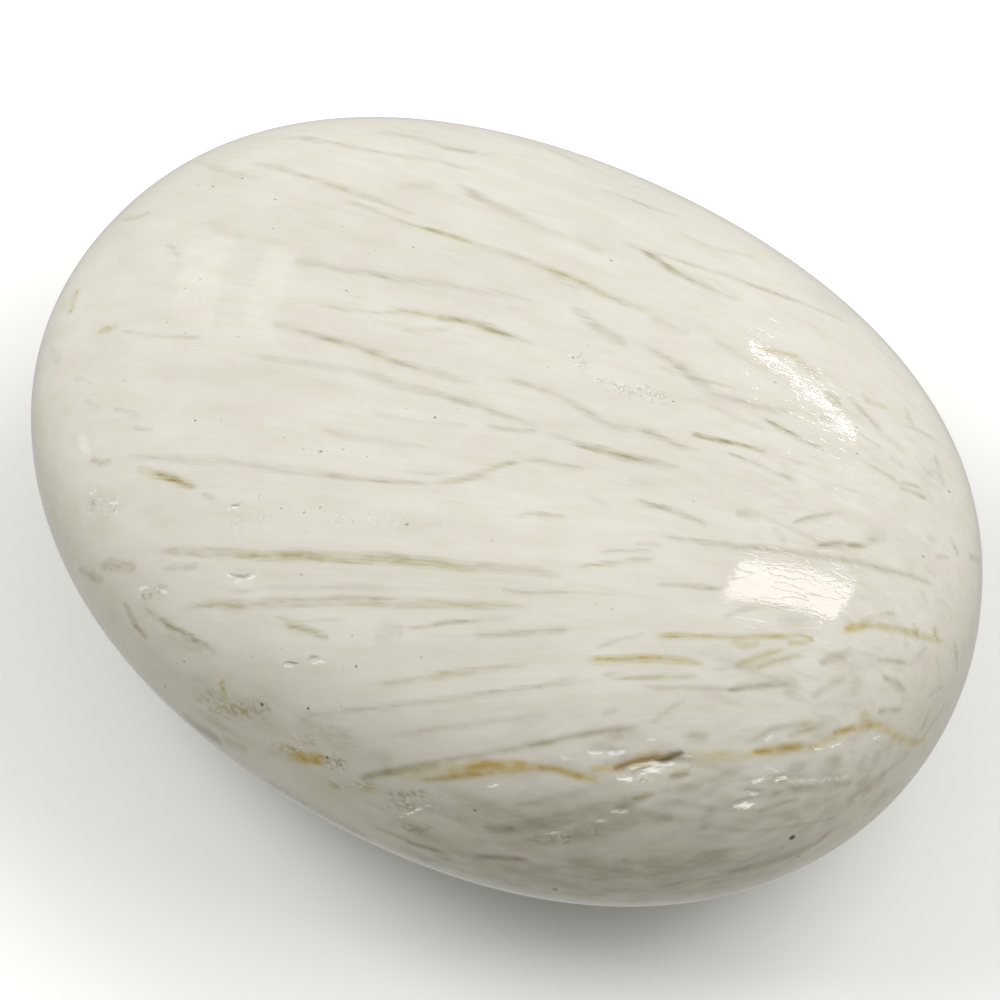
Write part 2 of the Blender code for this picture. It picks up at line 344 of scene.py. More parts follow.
MARKS = (
    # The crown's far side.
    Mark("far line", ((282, 139), (304, 138), (325, 142), (350, 147), (375, 152), (402, 157), (430, 160),
        (460, 168), (476, 169)), 0.21, 0.21, 0.32, OLIVE, 0.28),
    Mark("far line's head", ((298, 138), (312, 140), (328, 143)), 0.17, 0.17, 0.25, KHAKI, 0.28),
    Mark("far broad", ((376, 132), (400, 136), (422, 141), (450, 149), (476, 154)), 0.39, 0.29, 0.24, OLIVE,
        0.28),
    Mark("far core", ((440, 148), (458, 150), (478, 154)), 0.15, 0.18, 0.34, OLIVE, 0.2),
    Mark("far whisker", ((478, 157), (500, 153), (528, 157)), 0.1, 0.1, 0.22, GREY, 0.28),
    Mark("far rim", ((505, 137), (550, 149), (577, 163), (602, 174), (630, 186), (652, 191)), 0.29, 0.29,
        0.22, GREY, 0.28),
    Mark("far dash", ((600, 189), (628, 199), (650, 208), (682, 219)), 0.13, 0.16, 0.34, OLIVE, 0.28),
    Mark("far dash's core", ((626, 199), (640, 203), (652, 208)), 0.1, 0.1, 0.4, KHAKI, 0.2),
    Mark("far left", ((196, 161), (215, 168), (240, 176), (263, 181)), 0.21, 0.21, 0.34, GREY, 0.28),
    Mark("long brown", ((250, 163), (275, 168), (300, 175), (325, 183), (350, 192), (375, 200), (402, 211),
        (416, 216)), 0.29, 0.31, 0.3, KHAKI, 0.16),
    Mark("long brown's core", ((294, 174), (322, 182), (352, 193)), 0.13, 0.13, 0.22, KHAKI, 0.2),
    Mark("second brown", ((343, 200), (375, 211), (400, 222), (426, 229), (450, 237), (472, 244)), 0.17,
        0.17, 0.34, KHAKI, 0.28),
    Mark("second core", ((424, 228), (448, 235), (473, 244)), 0.14, 0.18, 0.45, KHAKI, 0.2),
    Mark("long hair", ((468, 243), (500, 253), (525, 261), (550, 270), (575, 280), (590, 287), (610, 297),
        (628, 305), (652, 313)), 0.31, 0.36, 0.3, KHAKI, 0.16),
    Mark("long hair's core", ((548, 268), (575, 280), (600, 293), (622, 303)), 0.15, 0.18, 0.34, OCHRE, 0.2),
    Mark("long hair's end", ((648, 316), (664, 325), (690, 336)), 0.39, 0.39, 0.24, KHAKI, 0.2),
    Mark("under hair", ((548, 276), (562, 283), (582, 291)), 0.16, 0.21, 0.22, OLIVE, 0.28),
    Mark("soft grey", ((455, 184), (475, 195), (500, 208), (520, 218), (545, 230), (565, 238)), 0.44, 0.44,
        0.26, OLIVE, 0.2),
    Mark("soft grey's head", ((468, 190), (480, 199), (494, 206)), 0.31, 0.31, 0.18, GREY, 0.2),
    Mark("upper whisker", ((518, 208), (545, 214), (566, 220)), 0.1, 0.1, 0.2, GREY, 0.28),
    Mark("upper khaki", ((398, 188), (415, 186), (438, 186)), 0.39, 0.39, 0.16, KHAKI, 0.2),
    Mark("right far soft", ((678, 232), (700, 243), (722, 250), (758, 258)), 0.23, 0.31, 0.22, GREY, 0.16),
    Mark("wedge", ((622, 242), (640, 250), (655, 259), (667, 267), (682, 275), (698, 283), (722, 294), (742,
        301)), 0.26, 0.29, 0.4, OLIVE, 0.28),
    Mark("wedge's core", ((642, 252), (660, 262), (678, 274), (694, 282)), 0.17, 0.17, 0.5, KHAKI, 0.2),
    Mark("wedge's branch", ((640, 249), (675, 260), (700, 268), (725, 275), (750, 285), (775, 294), (800,
        303), (825, 313), (850, 325)), 0.14, 0.17, 0.4, OLIVE, 0.28),
    Mark("branch's core", ((745, 283), (770, 292), (798, 302)), 0.11, 0.11, 0.3, KHAKI, 0.2),
    Mark("far blot", ((576, 234), (588, 244), (602, 253)), 0.39, 0.39, 0.16, GREY, 0.2),
    # The crown's middle.
    Mark("grey ribbon", ((290, 262), (325, 266), (350, 271), (375, 275), (402, 280), (425, 282), (450, 286),
        (475, 291), (502, 294), (532, 301)), 0.34, 0.34, 0.26, GREY, 0.16),
    Mark("ribbon's head", ((291, 261), (304, 263), (322, 266)), 0.55, 0.55, 0.16, KHAKI, 0.16),
    Mark("ribbon's dark", ((345, 270), (375, 275), (395, 280)), 0.15, 0.15, 0.22, OLIVE, 0.2),
    Mark("tan thread", ((315, 305), (340, 309), (370, 313), (396, 313)), 0.13, 0.14, 0.3, KHAKI, 0.2),
    Mark("tan spindle", ((388, 311), (410, 313), (435, 316), (460, 320), (480, 325), (500, 333), (518, 339)),
        0.34, 0.31, 0.4, KHAKI, 0.28),
    Mark("tan core", ((436, 317), (455, 320), (475, 324), (492, 330), (514, 338)), 0.17, 0.19, 0.55, KHAKI,
        0.2),
    Mark("tan skirt", ((402, 330), (428, 331), (455, 328)), 0.31, 0.31, 0.18, KHAKI, 0.2),
    Mark("tan tip", ((488, 328), (505, 334), (536, 344)), 0.09, 0.09, 0.35, OLIVE, 0.2),
    Mark("left long", ((264, 321), (290, 328), (325, 338), (350, 345), (385, 359), (400, 364), (425, 370),
        (450, 378), (478, 384)), 0.26, 0.26, 0.34, OLIVE, 0.28),
    Mark("left long's core", ((298, 331), (322, 337), (345, 344)), 0.14, 0.14, 0.24, KHAKI, 0.2),
    Mark("left long's knot", ((366, 351), (382, 357), (425, 370)), 0.13, 0.13, 0.24, KHAKI, 0.2),
    Mark("second long", ((250, 355), (300, 362), (330, 368), (370, 376), (396, 385), (420, 390), (440, 396),
        (460, 402), (480, 406), (500, 413), (522, 421), (548, 431)), 0.31, 0.34, 0.26, GREY, 0.16),
    Mark("second long's core", ((428, 393), (455, 400), (482, 407), (512, 418)), 0.18, 0.2, 0.3, OLIVE, 0.2),
    Mark("third long", ((505, 378), (525, 385), (540, 390), (562, 398), (585, 410), (605, 423), (625, 430),
        (645, 432), (662, 438), (678, 446), (700, 453)), 0.23, 0.25, 0.34, OLIVE, 0.28),
    Mark("third long's knot", ((520, 383), (532, 387), (546, 392)), 0.13, 0.13, 0.28, KHAKI, 0.2),
    Mark("third long's core", ((640, 431), (658, 436), (676, 445)), 0.15, 0.17, 0.36, KHAKI, 0.2),
    Mark("grey whiskers", ((320, 430), (350, 437), (380, 441), (402, 445), (428, 448)), 0.17, 0.18, 0.3,
        GREY, 0.28),
    Mark("grey whiskers 2", ((368, 412), (410, 421), (440, 424), (470, 427)), 0.13, 0.16, 0.22, GREY, 0.28),
    Mark("thin", ((484, 426), (500, 429), (520, 431), (538, 433)), 0.13, 0.13, 0.4, OLIVE, 0.28),
    Mark("dash's start", ((545, 434), (562, 439), (580, 445)), 0.21, 0.21, 0.3, GREY, 0.28),
    Mark("olive dash", ((573, 444), (590, 448), (605, 452), (620, 456), (640, 460), (660, 464), (680, 468)),
        0.23, 0.26, 0.52, OLIVE, 0.28),
    Mark("olive dash's core", ((578, 446), (604, 451), (632, 458), (655, 463)), 0.13, 0.14, 0.45, KHAKI,
        0.2),
    Mark("wide grey", ((570, 306), (585, 317), (600, 328), (612, 336), (628, 347)), 0.36, 0.44, 0.34, OLIVE,
        0.16),
    Mark("crown line", ((636, 342), (650, 350), (665, 358), (680, 368), (695, 380), (706, 389), (718, 396),
        (735, 400), (760, 407), (778, 411), (798, 412)), 0.31, 0.29, 0.34, OLIVE, 0.28),
    Mark("crown line's bulge", ((676, 364), (694, 378), (712, 391)), 0.44, 0.39, 0.22, OLIVE, 0.16),
    Mark("crown line's thread", ((655, 366), (682, 375), (704, 381), (738, 390)), 0.08, 0.08, 0.34, OLIVE,
        0.2),
    Mark("soft back", ((712, 340), (740, 356), (770, 372)), 0.34, 0.34, 0.16, KHAKI, 0.2),
    Mark("soft back 2", ((690, 398), (740, 420), (765, 430)), 0.26, 0.26, 0.16, GREY, 0.2),
    # Dashes on the right of the crown.
    Mark("dark dash", ((690, 434), (704, 438), (718, 441), (735, 444), (750, 448), (768, 453)), 0.16, 0.16,
        0.62, KHAKI),
    Mark("dark dash's core", ((692, 435), (712, 439), (740, 445)), 0.11, 0.12, 0.5, OLIVE),
    Mark("slant dash", ((761, 418), (775, 426), (790, 433), (806, 442), (824, 451)), 0.2, 0.2, 0.42, OLIVE),
    Mark("slant dash's core", ((764, 420), (782, 429), (802, 440)), 0.12, 0.12, 0.36, KHAKI),
    Mark("slant dash 2", ((726, 453), (745, 460), (760, 466), (780, 475), (794, 481)), 0.17, 0.17, 0.4,
        OLIVE),
    Mark("small dash", ((780, 457), (795, 462), (808, 465)), 0.1, 0.1, 0.34),
    Mark("small dash 2", ((813, 457), (826, 465)), 0.1, 0.1, 0.22),
    Mark("left of window", ((632, 499), (646, 503), (660, 507), (675, 512), (690, 518), (708, 526)), 0.2,
        0.22, 0.4, OLIVE),
    Mark("left of window's core", ((640, 502), (655, 506), (672, 512)), 0.14, 0.15, 0.36, OLIVE),
    Mark("middle dash", ((512, 516), (530, 514), (548, 515), (566, 517)), 0.16, 0.18, 0.34, KHAKI),
    Mark("middle dash's core", ((536, 514), (550, 516), (565, 517)), 0.13, 0.13, 0.34, KHAKI),
    Mark("middle patch", ((628, 481), (643, 482), (658, 487)), 0.36, 0.42, 0.16, GREY, 0.2),
    Mark("middle patch 2", ((586, 494), (598, 501), (612, 508)), 0.22, 0.26, 0.18, GREY, 0.16),
    Mark("middle patch 3", ((634, 545), (648, 544), (664, 546)), 0.2, 0.22, 0.2, KHAKI, 0.16),
    Mark("behind strip", ((755, 348), (772, 351), (786, 354), (800, 358)), 0.2, 0.24, 0.55, OCHRE),
    Mark("behind strip 2", ((796, 359), (808, 369), (822, 381)), 0.32, 0.34, 0.3, KHAKI, 0.16),
    Mark("behind strip 3", ((824, 391), (832, 398), (842, 406)), 0.28, 0.32, 0.44, OLIVE),
    Mark("right a", ((849, 396), (860, 409), (870, 420), (882, 432)), 0.16, 0.16, 0.42, OLIVE),
    Mark("right b", ((861, 392), (870, 402), (888, 409)), 0.24, 0.26, 0.36, KHAKI),
    Mark("right c", ((853, 430), (865, 438), (882, 449)), 0.09, 0.09, 0.4, OLIVE),
    Mark("right d", ((871, 466), (885, 474), (896, 482), (905, 487)), 0.11, 0.11, 0.42, OLIVE),
    Mark("right e", ((900, 482), (911, 485), (922, 489)), 0.13, 0.13, 0.44, OLIVE),
    Mark("right f", ((899, 488), (912, 493), (927, 499)), 0.13, 0.15, 0.5, OLIVE),
    Mark("right g", ((888, 458), (898, 463), (905, 471)), 0.2, 0.2, 0.3, GREY),
    Mark("right h", ((904, 406), (909, 418), (914, 430)), 0.2, 0.2, 0.32, KHAKI),
    Mark("right i", ((900, 425), (918, 431), (938, 442)), 0.15, 0.15, 0.42, GREY),
    Mark("right j", ((934, 455), (939, 470), (944, 488)), 0.2, 0.2, 0.38, GREY),
    Mark("right k", ((924, 477), (932, 473), (940, 470)), 0.2, 0.2, 0.2, GREY, 0.16),
    Mark("right l", ((828, 482), (842, 488), (860, 493), (880, 501)), 0.09, 0.09, 0.26),
    Mark("right m", ((806, 411), (816, 416), (832, 421)), 0.24, 0.34, 0.28, OLIVE, 0.16),
    Mark("right n", ((950, 538), (954, 547), (958, 556)), 0.2, 0.16, 0.44, OLIVE),
    Mark("right o", ((935, 557), (942, 557), (949, 558)), 0.11, 0.13, 0.55, GREY),
    Mark("right p", ((926, 536), (932, 540), (934, 547)), 0.26, 0.26, 0.2, GREY, 0.16),
    Mark("right q", ((968, 555), (974, 559), (979, 562)), 0.22, 0.24, 0.5, GREY),
    Mark("right r", ((921, 594), (925, 599), (927, 606)), 0.16, 0.16, 0.26, GREY),
    Mark("right s", ((934, 601), (940, 602), (946, 604)), 0.15, 0.15, 0.34, GREY),
    Mark("right t", ((946, 604), (950, 612), (951, 622)), 0.15, 0.15, 0.22, GREY, 0.16),
    Mark("blot", ((736, 516), (747, 516), (760, 519)), 0.42, 0.44, 0.2, GREY, 0.2),
    Mark("blot's core", ((735, 514), (744, 514), (752, 516)), 0.18, 0.18, 0.24, GREY),
    Mark("blot 2", ((772, 527), (778, 533), (785, 544)), 0.26, 0.26, 0.24, GREY, 0.16),
    Mark("blot 3", ((780, 462), (788, 473), (797, 486)), 0.36, 0.36, 0.16, GREY, 0.2),
    Mark("lens", ((791, 523), (802, 519), (816, 516), (834, 514)), 0.06, 0.42, 0.26, GREY),
    Mark("lens's edge", ((791, 524), (801, 520), (815, 516), (832, 514)), 0.08, 0.11, 0.45, OLIVE),
    Mark("lens's tail", ((830, 514), (846, 511)), 0.1, 0.1, 0.2),
    Mark("loop's wing", ((814, 547), (826, 545), (840, 543), (850, 545), (866, 547)), 0.12, 0.24, 0.5,
        OLIVE),
    Mark("loop's wing's core", ((818, 546), (830, 544), (843, 543)), 0.1, 0.13, 0.55, GREY),
    Mark("loop's stem", ((846, 547), (862, 546), (872, 540), (877, 533)), 0.22, 0.2, 0.32, KHAKI),
    Mark("loop", ((868, 540), (877, 536), (887, 537)), 0.5, 0.46, 0.26, GREY, 0.14),
    Mark("window's edge", ((658, 535), (680, 539), (697, 541), (716, 545), (740, 547), (765, 549), (790,
        552), (815, 556), (840, 560), (865, 565), (890, 571), (912, 577), (938, 587)), 0.22, 0.22, 0.42,
        OLIVE),
    Mark("thin olive", ((655, 585), (682, 586), (700, 588), (724, 589)), 0.1, 0.1, 0.42, OLIVE),
    Mark("window's foot", ((722, 618), (736, 612), (752, 608), (770, 606), (790, 608)), 0.14, 0.18, 0.42,
        GREY),
    Mark("window's foot 2", ((775, 620), (790, 620), (810, 618)), 0.34, 0.4, 0.2, OLIVE, 0.2),
    # The left end.
    Mark("bend", ((125, 455), (180, 460), (225, 462), (250, 466), (280, 471), (300, 472), (325, 475), (350,
        478), (380, 481), (410, 483), (440, 484)), 0.22, 0.22, 0.28, GREY, 0.14),
    Mark("bend's head", ((245, 464), (268, 466), (292, 470)), 0.34, 0.3, 0.18, GREY, 0.16),
    Mark("bend's core", ((325, 475), (355, 479), (395, 482), (425, 484)), 0.13, 0.13, 0.36, KHAKI),
    Mark("bend's turn", ((435, 483), (458, 481), (475, 476), (490, 470), (505, 465), (518, 462)), 0.28, 0.3,
        0.38, KHAKI, 0.14),
    Mark("bend's end", ((505, 464), (530, 461), (545, 461), (560, 465), (586, 469)), 0.13, 0.15, 0.38,
        OLIVE),
    Mark("bend's whisker", ((402, 471), (428, 474), (452, 474)), 0.1, 0.1, 0.24),
    Mark("left ochre", ((136, 469), (152, 473), (166, 477), (180, 482), (197, 489)), 0.24, 0.32, 0.42,
        KHAKI),
    Mark("left ochre's core", ((156, 474), (170, 479), (184, 484), (196, 488)), 0.16, 0.18, 0.52, OCHRE),
    Mark("left ochre's tail", ((200, 492), (208, 496), (217, 500)), 0.17, 0.17, 0.48, OLIVE),
    Mark("left dash", ((90, 460), (101, 462), (112, 463)), 0.18, 0.2, 0.42, OLIVE),
    Mark("left dash 2", ((84, 401), (94, 405), (102, 408)), 0.14, 0.14, 0.34, GREY),
    Mark("left dash 3", ((112, 409), (125, 411), (138, 416)), 0.16, 0.2, 0.3, GREY),
    Mark("left dash 4", ((132, 427), (142, 430), (154, 431)), 0.12, 0.14, 0.34, GREY),
    Mark("left dash 5", ((72, 378), (84, 381), (93, 385)), 0.12, 0.12, 0.24, GREY),
    Mark("left rust", ((78, 290), (74, 301), (70, 315)), 0.2, 0.26, 0.5, OCHRE),
    Mark("left rust 2", ((99, 330), (106, 330), (118, 327)), 0.3, 0.34, 0.36, OCHRE),
    Mark("left thread", ((118, 331), (140, 334), (165, 337), (202, 338)), 0.09, 0.1, 0.26, OLIVE),
    Mark("left smear", ((166, 244), (173, 250), (180, 257)), 0.13, 0.13, 0.34, GREY),
    Mark("left smear 2", ((205, 222), (220, 228), (245, 238)), 0.5, 0.5, 0.14, KHAKI, 0.25),
    Mark("left smear 3", ((122, 219), (134, 219), (150, 212)), 0.26, 0.3, 0.3, KHAKI, 0.16),
    Mark("left smear 4", ((50, 350), (56, 356), (60, 364)), 0.3, 0.3, 0.26, GREY, 0.16),
    # The two broad bands.
    Mark("upper band", ((150, 552), (175, 552), (200, 553), (250, 555), (300, 556), (350, 558), (380, 559),
        (420, 562), (460, 566), (500, 569), (530, 571), (564, 576)), 0.38, 0.36, 0.4, KHAKI, 0.1),
    Mark("upper band's core", ((235, 556), (280, 557), (330, 558), (385, 560), (430, 564), (480, 569)), 0.2,
        0.26, 0.3, OCHRE, 0.12),
    Mark("between", ((212, 587), (235, 592), (260, 589), (300, 588), (350, 588), (400, 589), (440, 591)),
        0.14, 0.14, 0.28),
    Mark("lower band", ((180, 610), (205, 606), (235, 605), (275, 604), (300, 604), (350, 603), (400, 604),
        (450, 605), (490, 607), (530, 607)), 0.34, 0.3, 0.36, KHAKI, 0.1),
    Mark("lower band's edge", ((262, 599), (300, 599), (350, 598), (400, 600)), 0.1, 0.14, 0.24, OLIVE),
    Mark("lower band's head", ((205, 606), (225, 605), (248, 606)), 0.3, 0.36, 0.22, KHAKI, 0.14),
    Mark("band's end", ((500, 590), (522, 592), (545, 593), (569, 593)), 0.15, 0.15, 0.44, OLIVE),
    Mark("band's end 2", ((566, 593), (590, 592), (625, 595), (662, 599)), 0.1, 0.1, 0.22),
    Mark("short rise", ((574, 569), (590, 566), (608, 564), (630, 561), (656, 559)), 0.15, 0.15, 0.36,
        KHAKI),
    Mark("short rise's core", ((580, 568), (596, 565), (620, 563)), 0.12, 0.12, 0.36, OCHRE),
    Mark("short rise 2", ((598, 553), (622, 551), (652, 551)), 0.11, 0.11, 0.34, OLIVE),
    Mark("under band", ((405, 630), (425, 627), (440, 624), (452, 622), (468, 621), (490, 619), (514, 618)),
        0.14, 0.15, 0.4, KHAKI),
    Mark("under band's core", ((432, 626), (448, 623), (468, 621)), 0.11, 0.11, 0.34, OLIVE),
    Mark("hatched dash", ((472, 635), (492, 635), (515, 634), (536, 633), (570, 630)), 0.18, 0.18, 0.44,
        OLIVE),
    Mark("left patch", ((100, 568), (112, 566), (124, 567), (138, 569)), 0.36, 0.38, 0.4, OLIVE, 0.16),
    Mark("left patch 2", ((162, 569), (178, 568), (198, 566)), 0.22, 0.22, 0.3, OLIVE, 0.16),
    Mark("left rim patch", ((78, 570), (90, 576), (104, 580)), 0.34, 0.34, 0.34, OLIVE, 0.16),
    Mark("left arc", ((124, 602), (130, 614), (137, 626), (149, 640)), 0.26, 0.34, 0.4, KHAKI, 0.14),
    Mark("left arc's core", ((133, 620), (138, 630), (146, 637)), 0.18, 0.2, 0.34, OCHRE),
    Mark("left arc 2", ((142, 607), (155, 615), (170, 625), (185, 634), (200, 642), (218, 653)), 0.16, 0.34,
        0.46, OLIVE),
    Mark("left arc 2's core", ((160, 619), (180, 632), (200, 643)), 0.13, 0.17, 0.36, KHAKI),
    Mark("left arc 2's skirt", ((168, 634), (185, 645), (205, 652)), 0.24, 0.26, 0.26, OCHRE, 0.16),
    Mark("khaki spindle", ((284, 624), (296, 628), (308, 631), (318, 634), (330, 639)), 0.16, 0.18, 0.52,
        KHAKI),
    Mark("spindle's core", ((298, 629), (309, 631), (320, 635)), 0.11, 0.12, 0.4, OLIVE),
    Mark("spindle's thread", ((272, 616), (295, 621), (320, 620), (348, 619)), 0.09, 0.09, 0.28, OLIVE),
    Mark("ring", ((372, 636), (384, 634), (397, 632)), 0.72, 0.72, 0.16, OLIVE, 0.2),
    Mark("ring's side", ((398, 622), (401, 632), (397, 643)), 0.13, 0.13, 0.24, KHAKI),
    # Below the bands.
    Mark("faint ochre", ((378, 685), (410, 680), (440, 676), (460, 673), (482, 670), (504, 667), (530, 665)),
        0.2, 0.22, 0.3, KHAKI, 0.14),
    Mark("faint ochre's core", ((424, 678), (450, 675), (480, 670)), 0.14, 0.14, 0.26, OCHRE),
    Mark("lower long", ((298, 714), (325, 714), (350, 711), (376, 709), (402, 705), (430, 702), (460, 699),
        (490, 694), (520, 690), (545, 687), (575, 683), (596, 682)), 0.16, 0.17, 0.36, GREY),
    Mark("lower long's core", ((465, 698), (490, 694), (520, 690), (552, 686)), 0.12, 0.13, 0.32, OLIVE),
    Mark("lower whisker", ((535, 687), (556, 681), (580, 677)), 0.1, 0.1, 0.2, KHAKI),
    Mark("lower long 2", ((384, 738), (410, 734), (430, 730), (450, 727), (475, 725), (500, 721), (525, 717),
        (552, 714)), 0.2, 0.2, 0.32, GREY),
    Mark("lower long 3", ((428, 763), (460, 758), (490, 753), (510, 750), (530, 746), (550, 742), (575, 736),
        (600, 732), (620, 729), (642, 726)), 0.2, 0.19, 0.46, OLIVE),
    Mark("lower long 3's core", ((520, 748), (550, 742), (590, 734), (636, 727)), 0.11, 0.12, 0.3, OLIVE),
    Mark("tick", ((595, 650), (605, 646), (616, 641), (632, 637), (645, 634)), 0.12, 0.12, 0.4, GREY),
    Mark("tick 2", ((600, 715), (608, 713), (617, 711)), 0.11, 0.11, 0.4, KHAKI),
    Mark("curl", ((650, 723), (660, 717), (672, 708), (688, 697)), 0.14, 0.14, 0.28, OLIVE),
    Mark("brown bit", ((608, 738), (615, 737), (624, 736)), 0.14, 0.14, 0.3, KHAKI),
    Mark("lower blot", ((682, 738), (696, 737), (711, 739)), 0.46, 0.46, 0.18, OLIVE, 0.2),
    Mark("lower blot's core", ((689, 737), (697, 737), (707, 739)), 0.24, 0.24, 0.3, OLIVE),
    Mark("green blotch", ((208, 712), (228, 711), (250, 709), (272, 707)), 0.5, 0.62, 0.4, KHAKI, 0.2, 1.0),
    Mark("green blotch 2", ((223, 680), (223, 692), (221, 706)), 0.34, 0.34, 0.4, OCHRE, 0.2, 1.0),
    Mark("green blotch 3", ((192, 697), (205, 697), (218, 695)), 0.36, 0.36, 0.28, OLIVE, 0.2, 1.0),
    Mark("grey slope", ((292, 716), (315, 726), (345, 742), (370, 755), (395, 764)), 0.75, 0.85, 0.22, OLIVE,
        0.3),
    Mark("rim patch", ((222, 738), (234, 744), (248, 750)), 0.36, 0.4, 0.3, KHAKI, 0.2),
    Mark("rim shade", ((184, 717), (200, 729), (222, 742)), 0.5, 0.6, 0.36, SPECK_AND_SHADE, 0.3),
    Mark("rim shade 2", ((262, 779), (290, 795), (330, 818), (370, 839)), 0.5, 0.6, 0.26, SPECK_AND_SHADE, 0.3),
    Mark("blob", ((286, 757), (300, 758), (312, 759), (326, 760)), 0.46, 0.46, 0.72, ORANGE, 0.16),
    Mark("blob's heart", ((298, 757), (309, 758), (321, 759)), 0.32, 0.34, 0.74, ORANGE, 0.2),
    Mark("blob's ear", ((272, 746), (284, 749), (298, 751)), 0.34, 0.3, 0.46, OCHRE, 0.2, 1.0),
    Mark("blob's tail", ((322, 762), (334, 763), (347, 766)), 0.34, 0.34, 0.44, OLIVE, 0.16, 1.0),
    Mark("blob's crown", ((302, 744), (310, 742), (318, 741)), 0.26, 0.26, 0.36, OLIVE, 0.16, 1.0),
    Mark("blob's foot", ((322, 779), (330, 784), (340, 788)), 0.24, 0.26, 0.4, OCHRE, 0.16, 1.0),
    Mark("blob's foot 2", ((343, 786), (358, 787), (376, 787)), 0.4, 0.42, 0.36, OCHRE, 0.2, 1.0),
    # Ochre lines on the right.
    Mark("bright ochre", ((584, 661), (600, 660), (640, 659), (662, 659), (684, 661), (704, 664)), 0.24,
        0.24, 0.46, OCHRE),
    Mark("bright ochre's core", ((590, 660), (610, 659), (640, 659), (664, 659)), 0.17, 0.17, 0.5, ORANGE),
    Mark("ochre 2", ((602, 674), (625, 678), (650, 678), (680, 677), (700, 676)), 0.16, 0.17, 0.46, KHAKI),
    Mark("ochre 2's core", ((622, 678), (645, 678), (668, 677)), 0.11, 0.11, 0.3, OCHRE),
    Mark("ochre 3", ((642, 686), (662, 689), (690, 689), (732, 689)), 0.14, 0.14, 0.36, OLIVE),
    Mark("ochre 3's core", ((656, 688), (675, 689), (696, 689)), 0.1, 0.1, 0.32, OCHRE),
    Mark("ochre 4", ((655, 637), (680, 637), (712, 637), (740, 638), (765, 637), (795, 636), (815, 638)),
        0.15, 0.15, 0.52, OCHRE),
    Mark("ochre 4's core", ((658, 638), (685, 637), (714, 637)), 0.12, 0.12, 0.34, ORANGE),
    Mark("ochre 4's core 2", ((752, 637), (775, 637), (800, 637), (814, 639)), 0.11, 0.11, 0.34, ORANGE),
    Mark("ochre 4's knot", ((730, 641), (744, 644), (760, 643)), 0.18, 0.34, 0.44, OCHRE, 0.16),
    Mark("ochre 4's end", ((786, 645), (799, 643), (814, 640)), 0.15, 0.15, 0.6, OCHRE),
    Mark("ochre twig", ((734, 667), (745, 662), (756, 658), (768, 654), (784, 649)), 0.19, 0.22, 0.42,
        OCHRE),
    Mark("ochre twig 2", ((755, 668), (770, 663), (786, 659), (802, 655)), 0.14, 0.15, 0.46, KHAKI),
    Mark("ochre twig 3", ((714, 670), (728, 669), (742, 668)), 0.1, 0.1, 0.26, GREY),
    Mark("right scrub", ((818, 665), (830, 660), (842, 655), (853, 649)), 0.26, 0.24, 0.4, OLIVE, 0.14),
    Mark("right scrub 2", ((876, 661), (890, 661), (907, 664)), 0.13, 0.14, 0.44, OLIVE),
    Mark("right scrub 3", ((908, 664), (918, 657), (927, 647)), 0.2, 0.2, 0.32, GREY),
    Mark("right scrub 4", ((954, 640), (956, 656), (957, 674)), 0.15, 0.15, 0.44, OLIVE),
    Mark("right scrub 5", ((934, 655), (938, 664), (939, 674)), 0.13, 0.13, 0.22, GREY),
    Mark("right ochre", ((843, 629), (856, 627), (872, 625), (890, 629), (906, 632), (922, 637), (946, 643)),
        0.24, 0.26, 0.46, OCHRE, 0.12),
    Mark("right ochre's root", ((843, 632), (852, 628), (866, 626)), 0.26, 0.28, 0.42, ORANGE),
    Mark("right ochre's arm", ((858, 621), (874, 617), (896, 613)), 0.11, 0.13, 0.36, KHAKI),
    Mark("right ochre's prong", ((915, 624), (916, 631), (917, 641)), 0.2, 0.2, 0.42, OCHRE),
    Mark("right ochre's prong 2", ((934, 625), (935, 633), (937, 643)), 0.18, 0.18, 0.42, OCHRE),
    Mark("right ochre's prong 3", ((904, 637), (906, 643), (907, 650)), 0.16, 0.16, 0.28, KHAKI),
    Mark("right root", ((843, 616), (848, 620), (854, 623)), 0.22, 0.22, 0.36, GREY),
    Mark("dark olive", ((726, 691), (740, 688), (755, 687), (770, 686), (790, 684)), 0.16, 0.16, 0.55,
        OLIVE),
    Mark("dark olive's core", ((728, 690), (740, 689), (752, 687)), 0.12, 0.12, 0.52, OLIVE),
    Mark("upright patch", ((792, 676), (791, 687), (789, 700)), 0.42, 0.42, 0.22, OLIVE, 0.14),
    Mark("upright patch 2", ((856, 676), (856, 686), (855, 697)), 0.34, 0.34, 0.24, OLIVE, 0.14),
    Mark("slant smear", ((810, 698), (824, 690), (835, 683), (848, 677)), 0.24, 0.26, 0.28, OLIVE, 0.14),
    Mark("leaf", ((882, 677), (894, 682), (906, 691)), 0.22, 0.26, 0.44, OLIVE),
    Mark("brown leaf", ((877, 712), (888, 711), (902, 709)), 0.17, 0.18, 0.52, KHAKI),
    Mark("edge dash", ((928, 697), (936, 691), (944, 686)), 0.15, 0.15, 0.36, GREY),
    Mark("edge arc", ((920, 741), (930, 728), (938, 716), (946, 702)), 0.15, 0.15, 0.42, GREY),
    Mark("edge arc 2", ((921, 731), (926, 719), (929, 706)), 0.12, 0.12, 0.34, GREY),
    Mark("edge arc 3", ((880, 776), (896, 764), (910, 751)), 0.26, 0.28, 0.3, GREY, 0.16),
    # The open ochre seam in the near wall.
    Mark("seam's start", ((358, 779), (380, 774), (400, 770), (420, 767), (442, 764)), 0.26, 0.36, 0.48,
        OLIVE, 0.14),
    Mark("seam's start core", ((362, 778), (385, 773), (410, 769)), 0.15, 0.17, 0.42, KHAKI),
    Mark("seam's fill", ((395, 776), (425, 774), (460, 771), (500, 769), (535, 769)), 0.52, 0.54, 0.34,
        ORANGE, 0.2),
    Mark("seam's body", ((446, 776), (468, 770), (490, 767), (510, 766), (530, 766)), 0.38, 0.46, 0.34,
        ORANGE, 0.14),
